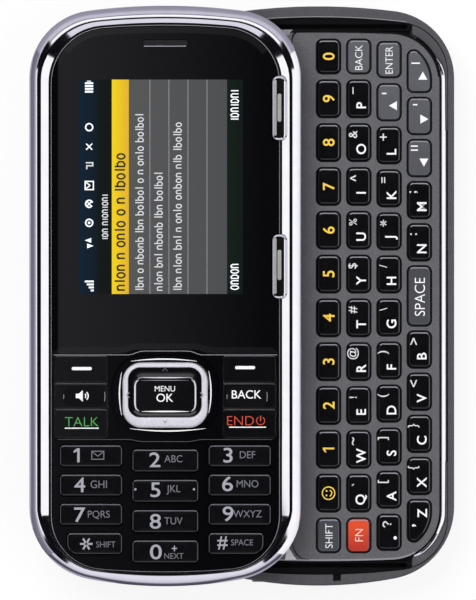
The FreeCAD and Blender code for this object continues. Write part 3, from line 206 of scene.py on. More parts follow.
# every finish by its maker: colour and roughness, then what else its maker takes
finishes = {}
for maker, table in {
        platedMetal: {"chrome": ("f4f4f8", 0.06), "satinMetal": ("c2c2c8", 0.28, 0.004),
                      "steel": ("a8a8ac", 0.3, 0.003), "darkSteel": ("5c5c60", 0.36, 0.003)},
        mouldedPlastic: {
            "housingGrey": ("444448", 0.5, 0.3), "deckGrey": ("545458", 0.55, 0.5, 0.16, 0.012),
            "coverGrey": ("48484c", 0.55, 0.25, 0.2, 0.012), "plateBlack": ("1d1d20", 0.42, 0.2),
            "board": ("1f4a33", 0.5), "film": ("b9b9a8", 0.4), "speakerBody": ("26262a", 0.5),
            "ribbon": ("9a5a22", 0.4), "battery": ("3c3f45", 0.45), "jack": ("17171a", 0.4)},
        pianoBlack: {"trough": ("09090b", 0.12), "lens": ("0d0f16", 0.02)},
        markOrHighlight: {
            # the first four are painted highlight lines on key bevels and on edges of the face and deck; the
            # dim and edge ones also draw the nav ring's arrows
            "paleLine": ("92929a", 0.3), "dimLine": ("45454d", 0.3), "padLine": ("6a6a72", 0.3),
            "edgeLine": ("86868c", 0.35), "white": ("e4e4e6", 0.4, 0.12), "softWhite": ("cfcfd4", 0.4, 0.08),
            "pinkWhite": ("eac6bc", 0.4, 0.05),
            "digit": ("9a9aa4", 0.4, 0.08), "letter": ("6a6a73", 0.4, 0.05),
            "yellow": ("e6c044", 0.4, 0.1), "green": ("45994c", 0.4, 0.1), "red": ("bf432a", 0.4, 0.1),
            "litLine": ("626466", 0.4, 1), "litText": ("a4a6a8", 0.4, 0.9), "litWhite": ("c8ccd0", 0.4, 0.9),
            "litDark": ("2a2308", 0.4, 0.4)}}.items():
    for name, values in table.items():
        finishes[name] = maker(name, *values)
# the first is black plastic that also paints shade into grooves; the second is painted shade only, for dark
# rings and lines on the deck
for name, colour, roughness, more in (
        ("railBlack", "08080a", 0.5, {"shine": 0.12}), ("innerBlack", "0a0a0c", 0.6, {"shine": 0.15})):
    finishes[name] = mouldedPlastic(name, colour, roughness, **more)
# keyGrey darkens towards lower y, a painted shade; clusterKey lightens towards the left, a painted sheen;
# keyOrange turns darker and redder towards lower y
for name, colour, roughness, more in (
        ("keyBlack", "050507", 0.24, {"coat": 0.3}), ("padKey", "08080a", 0.22, {"coat": 0.5}),
        ("keyGrey", "53545a", 0.32, {"coat": 0.3, "fade": ("y", 40, 5, "404147")}),
        ("keyOrange", "d6461f", 0.34, {"coat": 0.4, "fade": ("y", -43.5, -48.5, "ae2c1c")}),
        ("clusterKey", "08080a", 0.24, {"coat": 0.1, "fade": ("x", -9, -34, "131315"), "shine": 0.3}),
        ("ringSilver", "c6c5cf", 0.26, {"depth": 0.003, "specks": 0.14, "coat": 0.4}),
        ("wallGrey", "8e8f8e", 0.4, {"specks": 0.2})):
    finishes[name] = mouldedPlastic(name, colour, roughness, **{"grain": 0.3, "depth": 0.002, **more})
# the front housing and the glass lighten towards the left, a painted sheen; the glass also darkens at its far
# left edge, a painted shade
finishes["gloss"] = pianoBlack("gloss", "070709", 0.06, ("x", -8, -36, "101013"), shine=0.16)
finishes["glass"] = pianoBlack(
    "glass", "08080a", 0.03, ("x", 4, -34, "1e1e21"), ("x", -34.9, -35.3, "060607"), 0.08)
print("finishes made:", len(finishes))

# which CAD nodes show with each finish
finishNodes = {
    "housingGrey": "rear_housing", "coverGrey": "battery_cover", "battery": "battery",
    "deckGrey": "keyboard_deck",
    "chrome": "side_trim chrome_band", "board": "main_board keypad_board", "gloss": "front_housing",
    "railBlack": "slide_rails volume_key camera_key", "film": "qwerty_switch_sheet keypad_switch_sheet",
    "speakerBody": "loudspeaker camera_module earpiece", "lens": "camera_window", "jack": "headset_jack",
    "steel": "charging_port assist_spring", "darkSteel": "housing_screws earpiece_grille",
    "ribbon": "flex_cable",
    "glass": "display_window display_panel", "plateBlack": "back_plate", "satinMetal": "slide_carriage",
}
nodeFinishes = {label: finish for finish, labels in finishNodes.items() for label in labels.split()}
for label, node in nodes.items():
    node.data.materials.clear()
    node.data.materials.append(finishes[nodeFinishes.get(label, "keyBlack")])


displayX, deckX = -14.65, 14.65  # middle line of each half
grid = {"x": 242, "y": 296, "pitch": 5.225}  # drawing grid: its origin, and its steps in a millimetre
pixel = 1 / grid["pitch"]


def px(x, y):
    # a place on the face of the phone, from a place on the drawing grid
    return (x - grid["x"]) / grid["pitch"], (grid["y"] - y) / grid["pitch"]


def within(value):
    return max(0, min(1, value))


def between(a, b, t):
    return tuple(u + (v - u) * t for u, v in zip(a, b))


def middleOf(points):
    return [(min(p[k] for p in points) + max(p[k] for p in points)) / 2 for k in range(2)]


def arcPoints(x, y, radius, first, last, steps=14):
    angles = [radians(first + (last - first) * i / steps) for i in range(steps + 1)]
    return [(x + radius * cos(angle), y + radius * sin(angle)) for angle in angles]


def roundedOutline(x, y, width, length, corner, steps=8):
    points = []
    for quarter, (sx, sy) in enumerate(((1, 1), (-1, 1), (-1, -1), (1, -1))):
        points += arcPoints(x + sx * (width / 2 - corner), y + sy * (length / 2 - corner), corner,
                            90 * quarter, 90 * quarter + 90, steps)
    return points


# straight sides, arched ends and rounded corners; an end is its reach, arch radius and corner radius
def shellOutline(x, half, top, bottom=None, steps=14):
    def end(reach, radius, corner, sign):
        middle, cornerX = reach - radius, half - corner
        cornerY = middle + sqrt((radius - corner) ** 2 - cornerX ** 2)
        turn = degrees(atan2(cornerY - middle, cornerX))
        right = arcPoints(cornerX, cornerY, corner, 0, turn, steps)
        arch = arcPoints(0, middle, radius, turn, 180 - turn, steps * 2)[1:-1]
        left = [(-u, v) for u, v in reversed(right)]
        return [(u, v * sign) for u, v in right + arch + left]

    upper, lower = end(*top, 1), end(*(bottom or top), -1)[::-1]
    points = []
    for run, following in ((upper, lower), (lower, upper)):
        points += run + [between(run[-1], following[0], i / steps) for i in range(1, steps)]
    return [(x + u, v) for u, v in points]


def grown(outline, distance):
    # each corner of the closed outline moves along its own outward direction
    moved = []
    for index, (x, y) in enumerate(outline):
        (ax, ay), (bx, by) = outline[index - 1], outline[(index + 1) % len(outline)]
        first = Vector((y - ay, ax - x)).normalized()
        second = Vector((by - y, x - bx)).normalized()
        normal = (first + second if (first + second).length > 1e-6 else first).normalized()
        reach = distance / max(0.4, normal.dot(first))
        moved.append((x + normal.x * reach, y + normal.y * reach))
    return moved


def placed(name, data):
    item = bpy.data.objects.new(name, data)
    bpy.context.scene.collection.objects.link(item)
    return item


# a piece from its vertices and faces, each face with the number of its finish
def meshPiece(name, body, shape, materials, crease=35, replaces=()):
    mesh, (vertices, faces) = bpy.data.meshes.new(name), shape
    mesh.from_pydata([(x * mm, y * mm, z * mm) for x, y, z in vertices], [], [face for face, _ in faces])
    for finish in materials:
        mesh.materials.append(finishes[finish])
    for polygon, (_, finish) in zip(mesh.polygons, faces):
        polygon.material_index = finish
    work = bmesh.new()
    work.from_mesh(mesh)
    bmesh.ops.remove_doubles(work, verts=work.verts, dist=1e-7)
    bmesh.ops.recalc_face_normals(work, faces=work.faces)
    work.to_mesh(mesh)
    work.free()
    mesh.shade_smooth()
    mesh.set_sharp_from_angle(angle=radians(crease))
    piece = placed(name, mesh)
    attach(piece, body)
    if replaces:
        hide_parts(*replaces)
    return piece


# rings of equal count, joined in order; the ends are closed by a fan, or joined to each other
def lofted(shape, rings, finish=0, closed=False, pick=None):
    vertices, faces = shape
    start, count = len(vertices), len(rings[0])
    for ring in rings:
        vertices.extend(ring)
    for r in range(len(rings) if closed else len(rings) - 1):
        a, b = start + r * count, start + (r + 1) % len(rings) * count
        for i in range(count):
            j = (i + 1) % count
            chosen = pick(r, vertices[a + i], vertices[a + j]) if pick else finish
            faces.append(((a + i, a + j, b + j, b + i), chosen))
    for r in () if closed else (0, len(rings) - 1):
        base, hub = start + r * count, len(vertices)
        middle = tuple(sum(p[k] for p in rings[r]) / count for k in range(3))
        vertices.append(middle)
        chosen = pick(r, middle, middle) if pick else finish
        faces.extend(((base + i, base + (i + 1) % count, hub), chosen) for i in range(count))


def level(outline, z):
    return [(x, y, z) for x, y in outline]


# separate solids of a CAD node, each as its outline just under the edge bevel and its lowest and highest z
def capOutlines(label, bevel):
    work = bmesh.new()
    work.from_mesh(nodes[label].data)
    bmesh.ops.remove_doubles(work, verts=work.verts, dist=1e-6)
    left, found = set(work.verts), []
    while left:
        group, queue = set(), [left.pop()]
        while queue:
            vertex = queue.pop()
            group.add(vertex)
            for edge in vertex.link_edges:
                other = edge.other_vert(vertex)
                if other in left:
                    left.discard(other)
                    queue.append(other)
        points = [v.co / mm for v in group]
        low, high = min(p.z for p in points), max(p.z for p in points)
        ring = {(round(p.x, 3), round(p.y, 3)) for p in points if abs(p.z - (high - bevel)) < 0.02}
        x, y = middleOf(ring)
        ring = sorted(ring, key=lambda p: atan2(p[1] - y, p[0] - x))
        found.append({"outline": ring, "x": x, "y": y, "low": low, "high": high})
    work.free()
    return sorted(found, key=lambda cap: -cap["y"])


# rings round a bevelled edge, from below upwards
def bevelled(outline, z, inward, rise, steps):
    angles = [radians(90 * i / steps) for i in range(1, steps + 1)]
    return [level(grown(outline, -inward * (1 - cos(angle))), z + rise * sin(angle)) for angle in angles]


flangeHeight = 0.3


# a cap with a rounded edge and a slightly crowned top, over a flange that keeps it in its hole
def capInto(shape, cap, style):
    outline, low = grown(cap["outline"], -style["slack"]), cap["low"]
    bevel, crown = style["bevel"], style["crown"]
    shoulder = cap["high"] - crown - bevel
    rings = [level(outline, low)]
    if style["flange"]:
        foot, footTop = grown(outline, style["flange"]), low + flangeHeight
        rings = [level(foot, low), level(foot, footTop), level(outline, footTop)]
    rings.append(level(outline, shoulder))
    edge = len(rings) - 1
    rings += bevelled(outline, shoulder, bevel, bevel, 5)
    for share in (0.94, 0.82, 0.64, 0.42, 0.2):
        rings.append(level([between((cap["x"], cap["y"]), place, share) for place in grown(outline, -bevel)],
                           cap["high"] - crown * share ** 2))

    # painted highlight: the edge that faces the lamp gets a paler finish than the rest
    def pick(r, a, b):
        side = Vector((b[1] - a[1], a[0] - b[0]))
        if not edge <= r < edge + 4 or side.length == 0:
            return 0
        side.normalize()
        return 1 if side.y > 0.75 else 2 if (0, side.x, abs(side.x))[style["sides"]] > 0.8 else 0

    lofted(shape, rings, pick=pick)


# the look of each family of caps; sides: how many of the long sides get a painted highlight too; lines: the
# finishes of the painted highlights; deep: how far a mark reaches in
styleParts = ("bevel", "crown", "flange", "cadBevel", "slack", "sides", "deep", "lines")
capStyles = {family: dict(zip(styleParts, values)) for family, values in {
    "qwerty": (0.3, 0.04, 0.34, 0.2, 0.05, 1, 0.08, ["paleLine", "dimLine"]),
    "pad": (0.24, 0.08, 0.34, 0.4, 0.05, 2, 0.2, ["padLine", "dimLine"]),
    "cluster": (0.12, 0.03, 0, 0.1, 0, 0, 0.1, ["padLine", "dimLine"]),
    "ok": (0.3, 0.06, 0, 0.3, 0, 2, 0.1, ["paleLine", "paleLine"])}.items()}
keyFamilies = (
    ("qwerty", "keyBlack", ["number_row_keys", "q_row_keys", "a_row_keys", "z_row_keys"]),
    ("qwerty", "keyGrey", ["shift_key", "delete_key", "enter_key", "space_key", "arrow_keys"]),
    ("qwerty", "keyOrange", ["fn_key"]),
    ("pad", "padKey", ["key_" + sign for sign in (*"123456789", "star", "0", "hash")]),
    ("cluster", "clusterKey",
     ["soft_key_left", "soft_key_right", "speaker_key", "talk_key", "clear_key", "end_key"]),
    ("ok", "clusterKey", ["ok_key"]),
)
caps = {}
for family, finish, labels in keyFamilies:
    style = capStyles[family]
    for label in labels:
        caps[label] = capOutlines(label, style["cadBevel"])
        shape = [], []
        for cap in caps[label]:
            capInto(shape, cap, style)
        meshPiece(label + "_cap", label, shape, [finish, *style["lines"]],
                  replaces=[label])
print("keys made:", sum(len(found) for found in caps.values()))


# bright ring round the display half: outer slope, crest, inner slope, groove, and the lip round the face
band = {
    "outer": (26, (55.49, 115, 13), (55.49, 78, 14)),
    "inner": (21.6, (51.55, 150, 10.5), (52.55, 160, 10)),
    "foot": 12.7, "crest": 17, "crestShare": 0.49, "topShare": 0.13, "lowShare": 0.28, "outerSlope": 0.5566,
    "outerMost": 1.27, "innerSlope": 0.417, "lowSlope": 0.1, "edge": 0.76, "fullWidth": 4.4, "steps": 14,
    "upperFrom": 44, "upperOver": 10, "lowerFrom": 42.5, "lowerOver": 4, "side": 0.12, "sunk": 0.01,
    "slope": ((0.05, 0.015), (0.1, 0.06), (0.3, 0.27), (0.6, 0.58), (0.9, 0.895), (1, 1)),
    "lip": ((0.94, 0.16), (0.5, 0.2), (0.4, 0.1), (0.3, 0), (0.21, 0), (0.13, 0.1), (0, 0.3)),
    "under": ((1, 15.2), (0.7, 15), (0.5, 12.7)),
}


def makeBand():
    peak, rows = band["crest"], []
    for a, b in zip(shellOutline(displayX, *band["outer"]), shellOutline(displayX, *band["inner"])):
        across = Vector(b) - Vector(a)
        width = across.length
        high = within((a[1] - band["upperFrom"]) / band["upperOver"])
        low = within((-band["lowerFrom"] - b[1]) / band["lowerOver"])
        crest = width * (band["crestShare"] + band["topShare"] * high + band["lowShare"] * low)
        edge = band["edge"] * min(1, 0.25 + 0.75 * width / band["fullWidth"])
        slope = band["innerSlope"] + (band["lowSlope"] - band["innerSlope"]) * low
        outerFall = min(band["outerMost"], crest * band["outerSlope"] * (1 - 0.14 * low))
        lipTop = peak - (width - edge - crest) * slope
        # each point of the profile: its distance along the width and its height
        profile = [(0, band["foot"]), (0, peak - outerFall - band["side"])]
        for i in range(band["steps"] + 1):
            out = 1 - i / band["steps"]
            profile.append((crest * (1 - out) + band["sunk"], peak - outerFall * out ** 2))
        profile += [(crest + (width - edge - crest) * t, peak - (peak - lipTop) * share)
                    for t, share in band["slope"]]
        profile += [(width - edge * share, lipTop - drop - band["sunk"]) for share, drop in band["lip"]]
        profile += [(width * share, z) for share, z in band["under"]]
        rows.append([(*(Vector(a) + across / width * distance), z) for distance, z in profile])
    groove = band["steps"] + 2 + len(band["slope"])

    # the groove is painted black as shade, and the top of the lip carries a painted highlight line
    def pick(r, a, b):
        return 1 if groove <= r < groove + 2 else 2 if groove + 3 <= r < groove + 5 else 0

    shape = [], []
    lofted(shape, list(zip(*rows)), closed=True, pick=pick)
    meshPiece("band_ring", "display_half", shape, ["chrome", "railBlack", "edgeLine"], crease=40,
              replaces=["chrome_band"])


# the rocker round the OK key: a bright rim that falls into a black trough
navRing = {
    "outer": (165.3, 395, 85, 65.2, 19), "inner": (164.9, 392.3, 73.5, 50, 12.2),
    "hole": (displayX, -18.85, 11.9, 7.1, 1.6), "low": 14.9, "top": 17.5, "earWidth": 17.9, "earLength": 2,
    "rim": ((0, 0.62), (0.03, 0.46), (0.12, 0.28), (0.3, 0.12), (0.5, 0.03), (0.7, 0), (0.86, 0.02),
            (0.95, 0.09), (1, 0.2)),
    "trough": ((0.05, 0.42), (0.3, 0.46), (0.9, 0.46), (1, 0.52), (1, 2.6)),
}


def makeNavRing():
    outer, inner = [roundedOutline(*px(*navRing[key][:2]), *[size * pixel for size in navRing[key][2:]])
                    for key in ("outer", "inner")]
    holeX, holeY = navRing["hole"][:2]
    top, low = navRing["top"], navRing["low"]
    rings = [level(outer, low)]
    for near, away, profile in ((outer, inner, navRing["rim"]),
                                (inner, roundedOutline(*navRing["hole"]), navRing["trough"])):
        for t, drop in profile:
            rings.append(level([between(a, b, t) for a, b in zip(near, away)], top - drop))
    shape, dark = ([], []), range(len(navRing["rim"]), len(rings) - 1)
    lofted(shape, rings, closed=True, pick=lambda r, a, b: 1 if r in dark else 0)
    width = navRing["outer"][2] * pixel
    reach = (navRing["earWidth"] - width) / 2
    for side in (-1, 1):
        ear = roundedOutline(holeX + side * (width + reach) / 2, holeY, reach + 0.1, navRing["earLength"],
                             0.15, 3)
        lofted(shape, [level(ear, low), level(ear, low + 0.3)], finish=1)
    meshPiece("nav_ring_rim", "nav_ring", shape, ["ringSilver", "trough"], crease=50,
              replaces=["nav_ring"])


# two keys beside the display: a frame, and on it a black inlay, a raised bar and a grey wall
screenKey = {
    "x": 7.05, "width": 2.7, "length": 12.4, "corner": 1.2, "low": 16.25, "side": 16.85, "bevel": 0.5,
    "rise": 0.38, "edge": ((0, 0.05), (0.03, 0.015), (0.07, 0)),
}
screenKeys = {"screen_key_upper": {"y": 35.9, "middle": 108, "barMiddle": 108, "bar": 28},
              "screen_key_lower": {"y": 5.65, "middle": 266, "barMiddle": 265, "bar": 30}}


def makeScreenKey(label, key):
    shape = [], []
    outline = roundedOutline(screenKey["x"], key["y"], screenKey["width"], screenKey["length"],
                             screenKey["corner"])
    lofted(shape, [level(outline, screenKey["low"]), level(outline, screenKey["side"]),
                   *bevelled(outline, screenKey["side"], screenKey["bevel"], screenKey["rise"], 6)])
    for x, y, width, length, low, high, finish in (
            (280.1, key["middle"], 6.2, 59, 17.1, 17.27, 1),
            (279.3, key["barMiddle"], 3.9, key["bar"], 17.2, 17.345, 2),
            (274.9, key["middle"], 3.2, 56, 17.1, 17.3, 2)):
        outline = roundedOutline(*px(x, y), width * pixel, length * pixel, width * pixel * 0.4, 4)
        lofted(shape, [level(outline, low), *[level(grown(outline, -inward), high - drop)
                                              for inward, drop in screenKey["edge"]]], finish=finish)
    meshPiece(label + "_frame", label, shape, ["chrome", "railBlack", "wallGrey"], crease=40,
              replaces=[label])


# strips down both sides of the keyboard; at the lower right one runs on round the corner, past a shoulder
strip = {
    "deck": (deckX, 23.16, (50.75, 360, 9.4)), "well": (deckX, 24.68, (53.25, 145, 10)),
    "gap": 0.36, "width": 1.14, "tip": 45.4, "taper": 3.6, "tail": 0.6, "tailFrom": 17.9, "low": 6.6,
    "top": 9.14, "fall": 0.34, "railEnd": 18.47, "overRail": 8.87,
    "shoulderFrom": 17.95, "shoulderShare": 0.27,
    "shoulderLow": 8.3, "shoulderTop": 9.04, "filler": 8.45, "fillerLow": 8.2, "endFrom": 30, "slit": 0.08,
    "profile": ((0, None), (0, 0.14), (0.06, 0), (0.14, 0.05), (0.9, 0.95), (1, 1.3), (1, None)),
}


def divided(outline, parts):
    points = []
    for index, place in enumerate(outline):
        points += [between(place, outline[(index + 1) % len(outline)], i / parts) for i in range(parts)]
    return points


def runs(wanted):
    # stretches of neighbouring places round a closed outline, each as a list of indices
    first, count = wanted.index(False), len(wanted)
    order = [(first + i) % count for i in range(count)]
    return [list(run) for kept, run in groupby(order, key=lambda i: wanted[i]) if kept]


def makeSideStrip():
    deck, well = [divided(shellOutline(*strip[key]), 4) for key in ("deck", "well")]
    near, away = grown(deck, strip["gap"]), grown(deck, strip["gap"] + 1)
    top, overRail, railEnd = strip["top"], strip["overRail"], strip["railEnd"]
    tailFrom, shoulderFrom, filler = strip["tailFrom"], strip["shoulderFrom"], strip["filler"]
    widths, shoulders = [], []
    for (x, y), (wellX, wellY) in zip(deck, well):
        across, wellAcross, up = abs(x - deckX), abs(wellX - deckX), abs(y)
        width = strip["width"] * within((strip["tip"] - up) / strip["taper"]) ** 0.6
        if x > deckX and y < -strip["endFrom"] and across > tailFrom:
            width = max(width, strip["tail"] * min(1, (across - tailFrom) / 1.5) ** 0.5)
        widths.append(width if across > tailFrom else 0)
        gap = hypot(wellX - x, wellY - y)
        share = max(strip["shoulderShare"], (strip["gap"] + width + strip["slit"]) / gap if width else 0)
        if across < shoulderFrom < wellAcross:
            share = max(share, (shoulderFrom - across) / (wellAcross - across))
        shoulders.append(share if up > strip["endFrom"] and wellAcross > shoulderFrom and share < 0.96 else 1)
    shape = [], []
    for run in runs([width > 0.03 for width in widths]):
        rings = []
        for i in run:
            low = strip["low"] if abs(near[i][0] - deckX) > railEnd + 0.3 else overRail
            rings.append([(*between(near[i], away[i], widths[i] * t),
                           low if drop is None else top - drop * widths[i] * strip["fall"])
                          for t, drop in strip["profile"]])
        lofted(shape, rings)
    for run in runs([share < 1 for share in shoulders]):
        rings, dark = [], []
        for i in run:
            def at(t, z):
                return *between(deck[i], well[i], t), z

            start, high = shoulders[i], strip["shoulderTop"]
            low = strip["shoulderLow"] if abs(at(start, 0)[0] - deckX) > railEnd else overRail
            rings.append([at(start, low), at(start, high - 0.08), at(min(1, start + 0.02), high - 0.02),
                          at(1, high), at(1, low)])
            # the dark filler laid into the groove between the deck and the shoulder is painted shade
            if abs(deck[i][0] - deckX) > railEnd:
                dark.append([at(0.02, strip["fillerLow"]), at(0.02, filler), at(start - 0.01, filler),
                             at(start - 0.01, strip["fillerLow"])])
        lofted(shape, rings, finish=1)
        if len(dark) > 1:
            lofted(shape, dark, finish=2)
    meshPiece("side_strip", "keyboard_half", shape, ["chrome", "housingGrey", "railBlack"], crease=60,
              replaces=["side_trim"])


makeBand()
makeNavRing()
for label, key in screenKeys.items():
    makeScreenKey(label, key)
makeSideStrip()
print("bright pieces made")


def bowPoints(a, b, c, steps=14):
    # a shallow bow through three places
    return [tuple(2 * (t - 0.5) * (t - 1) * u + 4 * t * (1 - t) * v + 2 * t * (t - 0.5) * w
                  for u, v, w in zip(a, b, c)) for t in [i / steps for i in range(steps + 1)]]


# a straight line through a place, half its length each way
def barPoints(x, y, half, turn):
    dx, dy = half * cos(radians(turn)), half * sin(radians(turn))
    return [(x - dx, y - dy), (x + dx, y + dy)]


# the points and faces of some letters
def letterMesh(text, bold=0):
    curve = bpy.data.curves.new("letters", "FONT")
    curve.body, curve.offset, curve.resolution_u, curve.extrude = text, bold, 5, 0.5
    item = bpy.data.objects.new("letters", curve)
    mesh = bpy.data.meshes.new_from_object(item)
    found = [v.co.copy() for v in mesh.vertices], [tuple(polygon.vertices) for polygon in mesh.polygons]
    bpy.data.objects.remove(item)
    bpy.data.curves.remove(curve)
    bpy.data.meshes.remove(mesh)
    return found


capOfFont = max(p.y for p in letterMesh("H")[0]) - min(p.y for p in letterMesh("H")[0])
marks = {}  # the marks of each body: vertices, faces and finishes


# draws marks on one body, between two heights
class Pen:
    def __init__(self, body, low, high):
        self.body, self.low, self.high = body, low, high

    def gather(self, finish, vertices, faces):
        allVertices, allFaces, used = marks.setdefault(self.body, ([], [], []))
        if finish not in used:
            used.append(finish)
        start = len(allVertices)
        allVertices.extend(vertices)
        allFaces.extend((tuple(start + i for i in face), used.index(finish)) for face in faces)

    # filled outline
    def plate(self, finish, outline):
        count = len(outline)
        faces = [tuple(range(count))[::-1], tuple(range(count, count * 2))]
        faces += [(i, (i + 1) % count, count + (i + 1) % count, count + i) for i in range(count)]
        self.gather(finish, level(outline, self.low) + level(outline, self.high), faces)

    def dot(self, finish, x, y, radius):
        self.plate(finish, arcPoints(x, y, radius, 0, 330, 11))

    # line of some width along points, open or closed; a tapered one is thin at its ends
    def stroke(self, finish, width, points, closed=False, tapered=False):
        count, vertices, faces = len(points), [], []
        for index, (x, y) in enumerate(points):
            headings = []
            if closed or index:
                headings.append(Vector((x - points[index - 1][0], y - points[index - 1][1])).normalized())
            if closed or index < count - 1:
                after = points[(index + 1) % count]
                headings.append(Vector((after[0] - x, after[1] - y)).normalized())
            along = sum(headings, Vector((0, 0))).normalized()
            normal = Vector((-along.y, along.x))
            half = width / 2 / max(0.4, normal.dot(Vector((-headings[0].y, headings[0].x))))
            if tapered:
                half *= 0.25 + 0.75 * sin(pi * index / (count - 1))
            left, right = [(x + normal.x * side, y + normal.y * side) for side in (half, -half)]
            vertices += [(*left, self.low), (*right, self.low), (*right, self.high), (*left, self.high)]
        for index in range(count if closed else count - 1):
            a, b = index * 4, (index + 1) % count * 4
            faces += [(a + k, a + (k + 1) % 4, b + (k + 1) % 4, b + k) for k in range(4)]
        if not closed:
            last = (count - 1) * 4
            faces += [(3, 2, 1, 0), (last, last + 1, last + 2, last + 3)]
        self.gather(finish, vertices, faces)

    # the same from places on the drawing grid
    def line(self, finish, width, *places, **looks):
        self.stroke(finish, width, [px(*place) for place in places], **looks)

    def fill(self, finish, *places):
        self.plate(finish, [px(*place) for place in places])

    # letters, centred on x, y; turned ones read from the bottom of the phone to its top
    def text(self, finish, text, x, y, height, bold=0, turned=False, narrow=1):
        points, faces = letterMesh(text, bold)
        scale = height * pixel / (capOfFont + 2 * bold)
        middleX, middleY = middleOf(points)
        vertices = []
        for p in points:
            u, v = (p.x - middleX) * scale * narrow, (p.y - middleY) * scale
            u, v = (-v, u) if turned else (u, v)
            vertices.append((x + u, y + v, self.high if p.z > 0 else self.low))
        self.gather(finish, vertices, faces)

    # the numeral one, with its flag
    def one(self, finish, x, y, height, weight, turned=False):
        half, flag = height * pixel / 2, height * pixel * 0.26
        for points in ([(0, -half), (weight, -half), (weight, half), (0, half)],
                       [(0, half), (-flag, half * 0.62), (-flag, half * 0.62 - weight * 0.9),
                        (0, half - weight * 1.15)]):
            self.plate(finish, [(x - v, y + u) if turned else (x + u, y + v) for u, v in points])


rise = 0.012  # how far a mark stands on its key
pens = {}
for family, finish, labels in keyFamilies:
    for label in labels:
        top = caps[label][0]["high"]
        pens[label] = Pen(label, top - capStyles[family]["deep"], top + rise)

# QWERTY legends in grid steps: main sign low on the key, second sign at its upper left
letterPlace = {
    "main": (2.4, -6.4), "second": (-5.8, 8.2), "mainHeight": 9.6, "secondHeight": 7.5, "digitHeight": 11.5,
}
columns = {
    "q_row_keys": ["P–", "O&", "I^", "U%", "Y$", "T#", "R@", "E!", "W~", "Q`"],
    "a_row_keys": ["L+", "K=", "J*", "H/", "G\\", "F)", "D(", "S]", "A["],
    "z_row_keys": ["M;", "N:", "B>", "V<", "C}", "X{", "Z,"],
}
secondHeights = {
    "^": 10.5, "`": 9, "$": 8.2, **dict.fromkeys("~+:;<>", 10), **dict.fromkeys("=#&@()[]{}", 8.5),
}


def keyMark(label, index, text, place, height, finish="white", bold=0.014, narrow=1):
    cap = caps[label][index]
    x, y = [cap[axis] + step * pixel for axis, step in zip("xy", place)]
    pens[label].text(finish, text, x, y, height, bold, True, narrow)


for label, signs in columns.items():
    for index, (main, second) in enumerate(signs):
        if main == "Z":
            keyMark(label, index, main, (2.9, 7.6), letterPlace["mainHeight"])
            keyMark(label, index, second, (-5.3, -4.7), 11)
            continue
        keyMark(label, index, main, letterPlace["main"], letterPlace["mainHeight"])
        if second in "–*":
            cap = caps[label][index]
            x, y = [cap[axis] + step * pixel for axis, step in zip("xy", letterPlace["second"])]
            for turn in (90,) if second == "–" else (90, 150, 210):
                pens[label].stroke("softWhite", 0.19, barPoints(x, y, 0.66, turn))
        else:
            height = secondHeights.get(second, letterPlace["secondHeight"])
            keyMark(label, index, second, letterPlace["second"], height, "softWhite", 0.004)
pens["a_row_keys"].line(
    "softWhite", 0.25, (385.3, 527.1), (383.8, 526.5), (383.2, 524.7), (383.8, 522.7), (385.3, 522),
    (386.7, 522.6), (387.7, 524), (388.9, 524.4))
pens["a_row_keys"].dot("softWhite", *px(390.7, 524.4), 0.16)
keyMark("a_row_keys", 9, ".", (6.2, -5.6), 14, bold=0.03)
for index, digit in enumerate("0987654321"):
    if digit == "1":
        cap = caps["number_row_keys"][index]
        pens["number_row_keys"].one("yellow", cap["x"], cap["y"], letterPlace["digitHeight"], 0.34,
                                    turned=True)
    else:
        keyMark("number_row_keys", index, digit, (0.2, 0.2), letterPlace["digitHeight"], "yellow", 0.012)
for label, text, place, height, finish, narrow in (
        ("shift_key", "SHIFT", (0.5, -0.5), 7.2, "white", 0.92),
        ("fn_key", "FN", (0.3, 0.2), 8, "pinkWhite", 0.95),
        ("delete_key", "BACK", (0, -1), 7.2, "white", 0.92),
        ("enter_key", "ENTER", (0, -0.5), 7.2, "white", 0.86),
        ("space_key", "SPACE", (0.5, -0.8), 10, "white", 0.92)):
    keyMark(label, 0, text, place, height, finish, -0.008, narrow)

# painted shade: a dark ring round every key of the keyboard, and a dark plate in the microphone's hole
deckTop = {"low": 8.8, "line": 9.006, "pale": 9.01, "gap": 9.012, "dark": 9.014, "rim": 9.106}
keyShadowPen = Pen("keyboard_half", 8.9, deckTop["gap"])
for label in sum([labels for family, finish, labels in keyFamilies if family == "qwerty"], []):
    for cap in caps[label]:
        keyShadowPen.stroke("innerBlack", 0.24, grown(cap["outline"], 0.22), closed=True)
Pen("keyboard_half", 8.2, 8.3).plate("innerBlack", roundedOutline(*px(337, 577.8), 1.44, 1.1, 0.05, 2))

# edges of the deck: a black line of painted shade at the top, a pale line of painted highlight at the bottom,
# and painted highlights and shade at the corners beside the display
deckEdge = [(x, y) for x, y in shellOutline(*strip["deck"], steps=28) if x > 6]
upperEdge = [(x, y - 0.1) for x, y in deckEdge if y > 42]
lowerEdge = [(x, y + 0.14) for x, y in deckEdge if y < -42 and x < 33.2]
for edge, finish, width in ((upperEdge, "innerBlack", 0.42), (lowerEdge, "edgeLine", 0.32)):
    edge = sorted(edge, key=lambda point: (point[0], -abs(point[1])))
    Pen("keyboard_half", deckTop["low"], deckTop["line"]).stroke(finish, width, edge)
deckHighlightPen, deckShadePen = [Pen("keyboard_half", deckTop["low"], deckTop[key]) for key in ("pale", "dark")]
deckHighlightPen.fill("edgeLine", (279, 29.4), (293, 29.4), (290.5, 31.6), (289, 35), (284, 34))
deckShadePen.line("innerBlack", 0.36, (310, 30.2), (301, 30.4), (296, 32), (293.2, 35), (292.2, 39), (292, 44),
             tapered=True)
deckHighlightPen.fill("softWhite", (287.6, 546.2), (289.8, 549.4), (293.6, 556), (296.8, 560), (285, 560.4))
deckShadePen.line("innerBlack", 0.26, (292.4, 541), (293.2, 548), (296.6, 554.5), (301, 558.4), (309, 559.8),
             tapered=True)
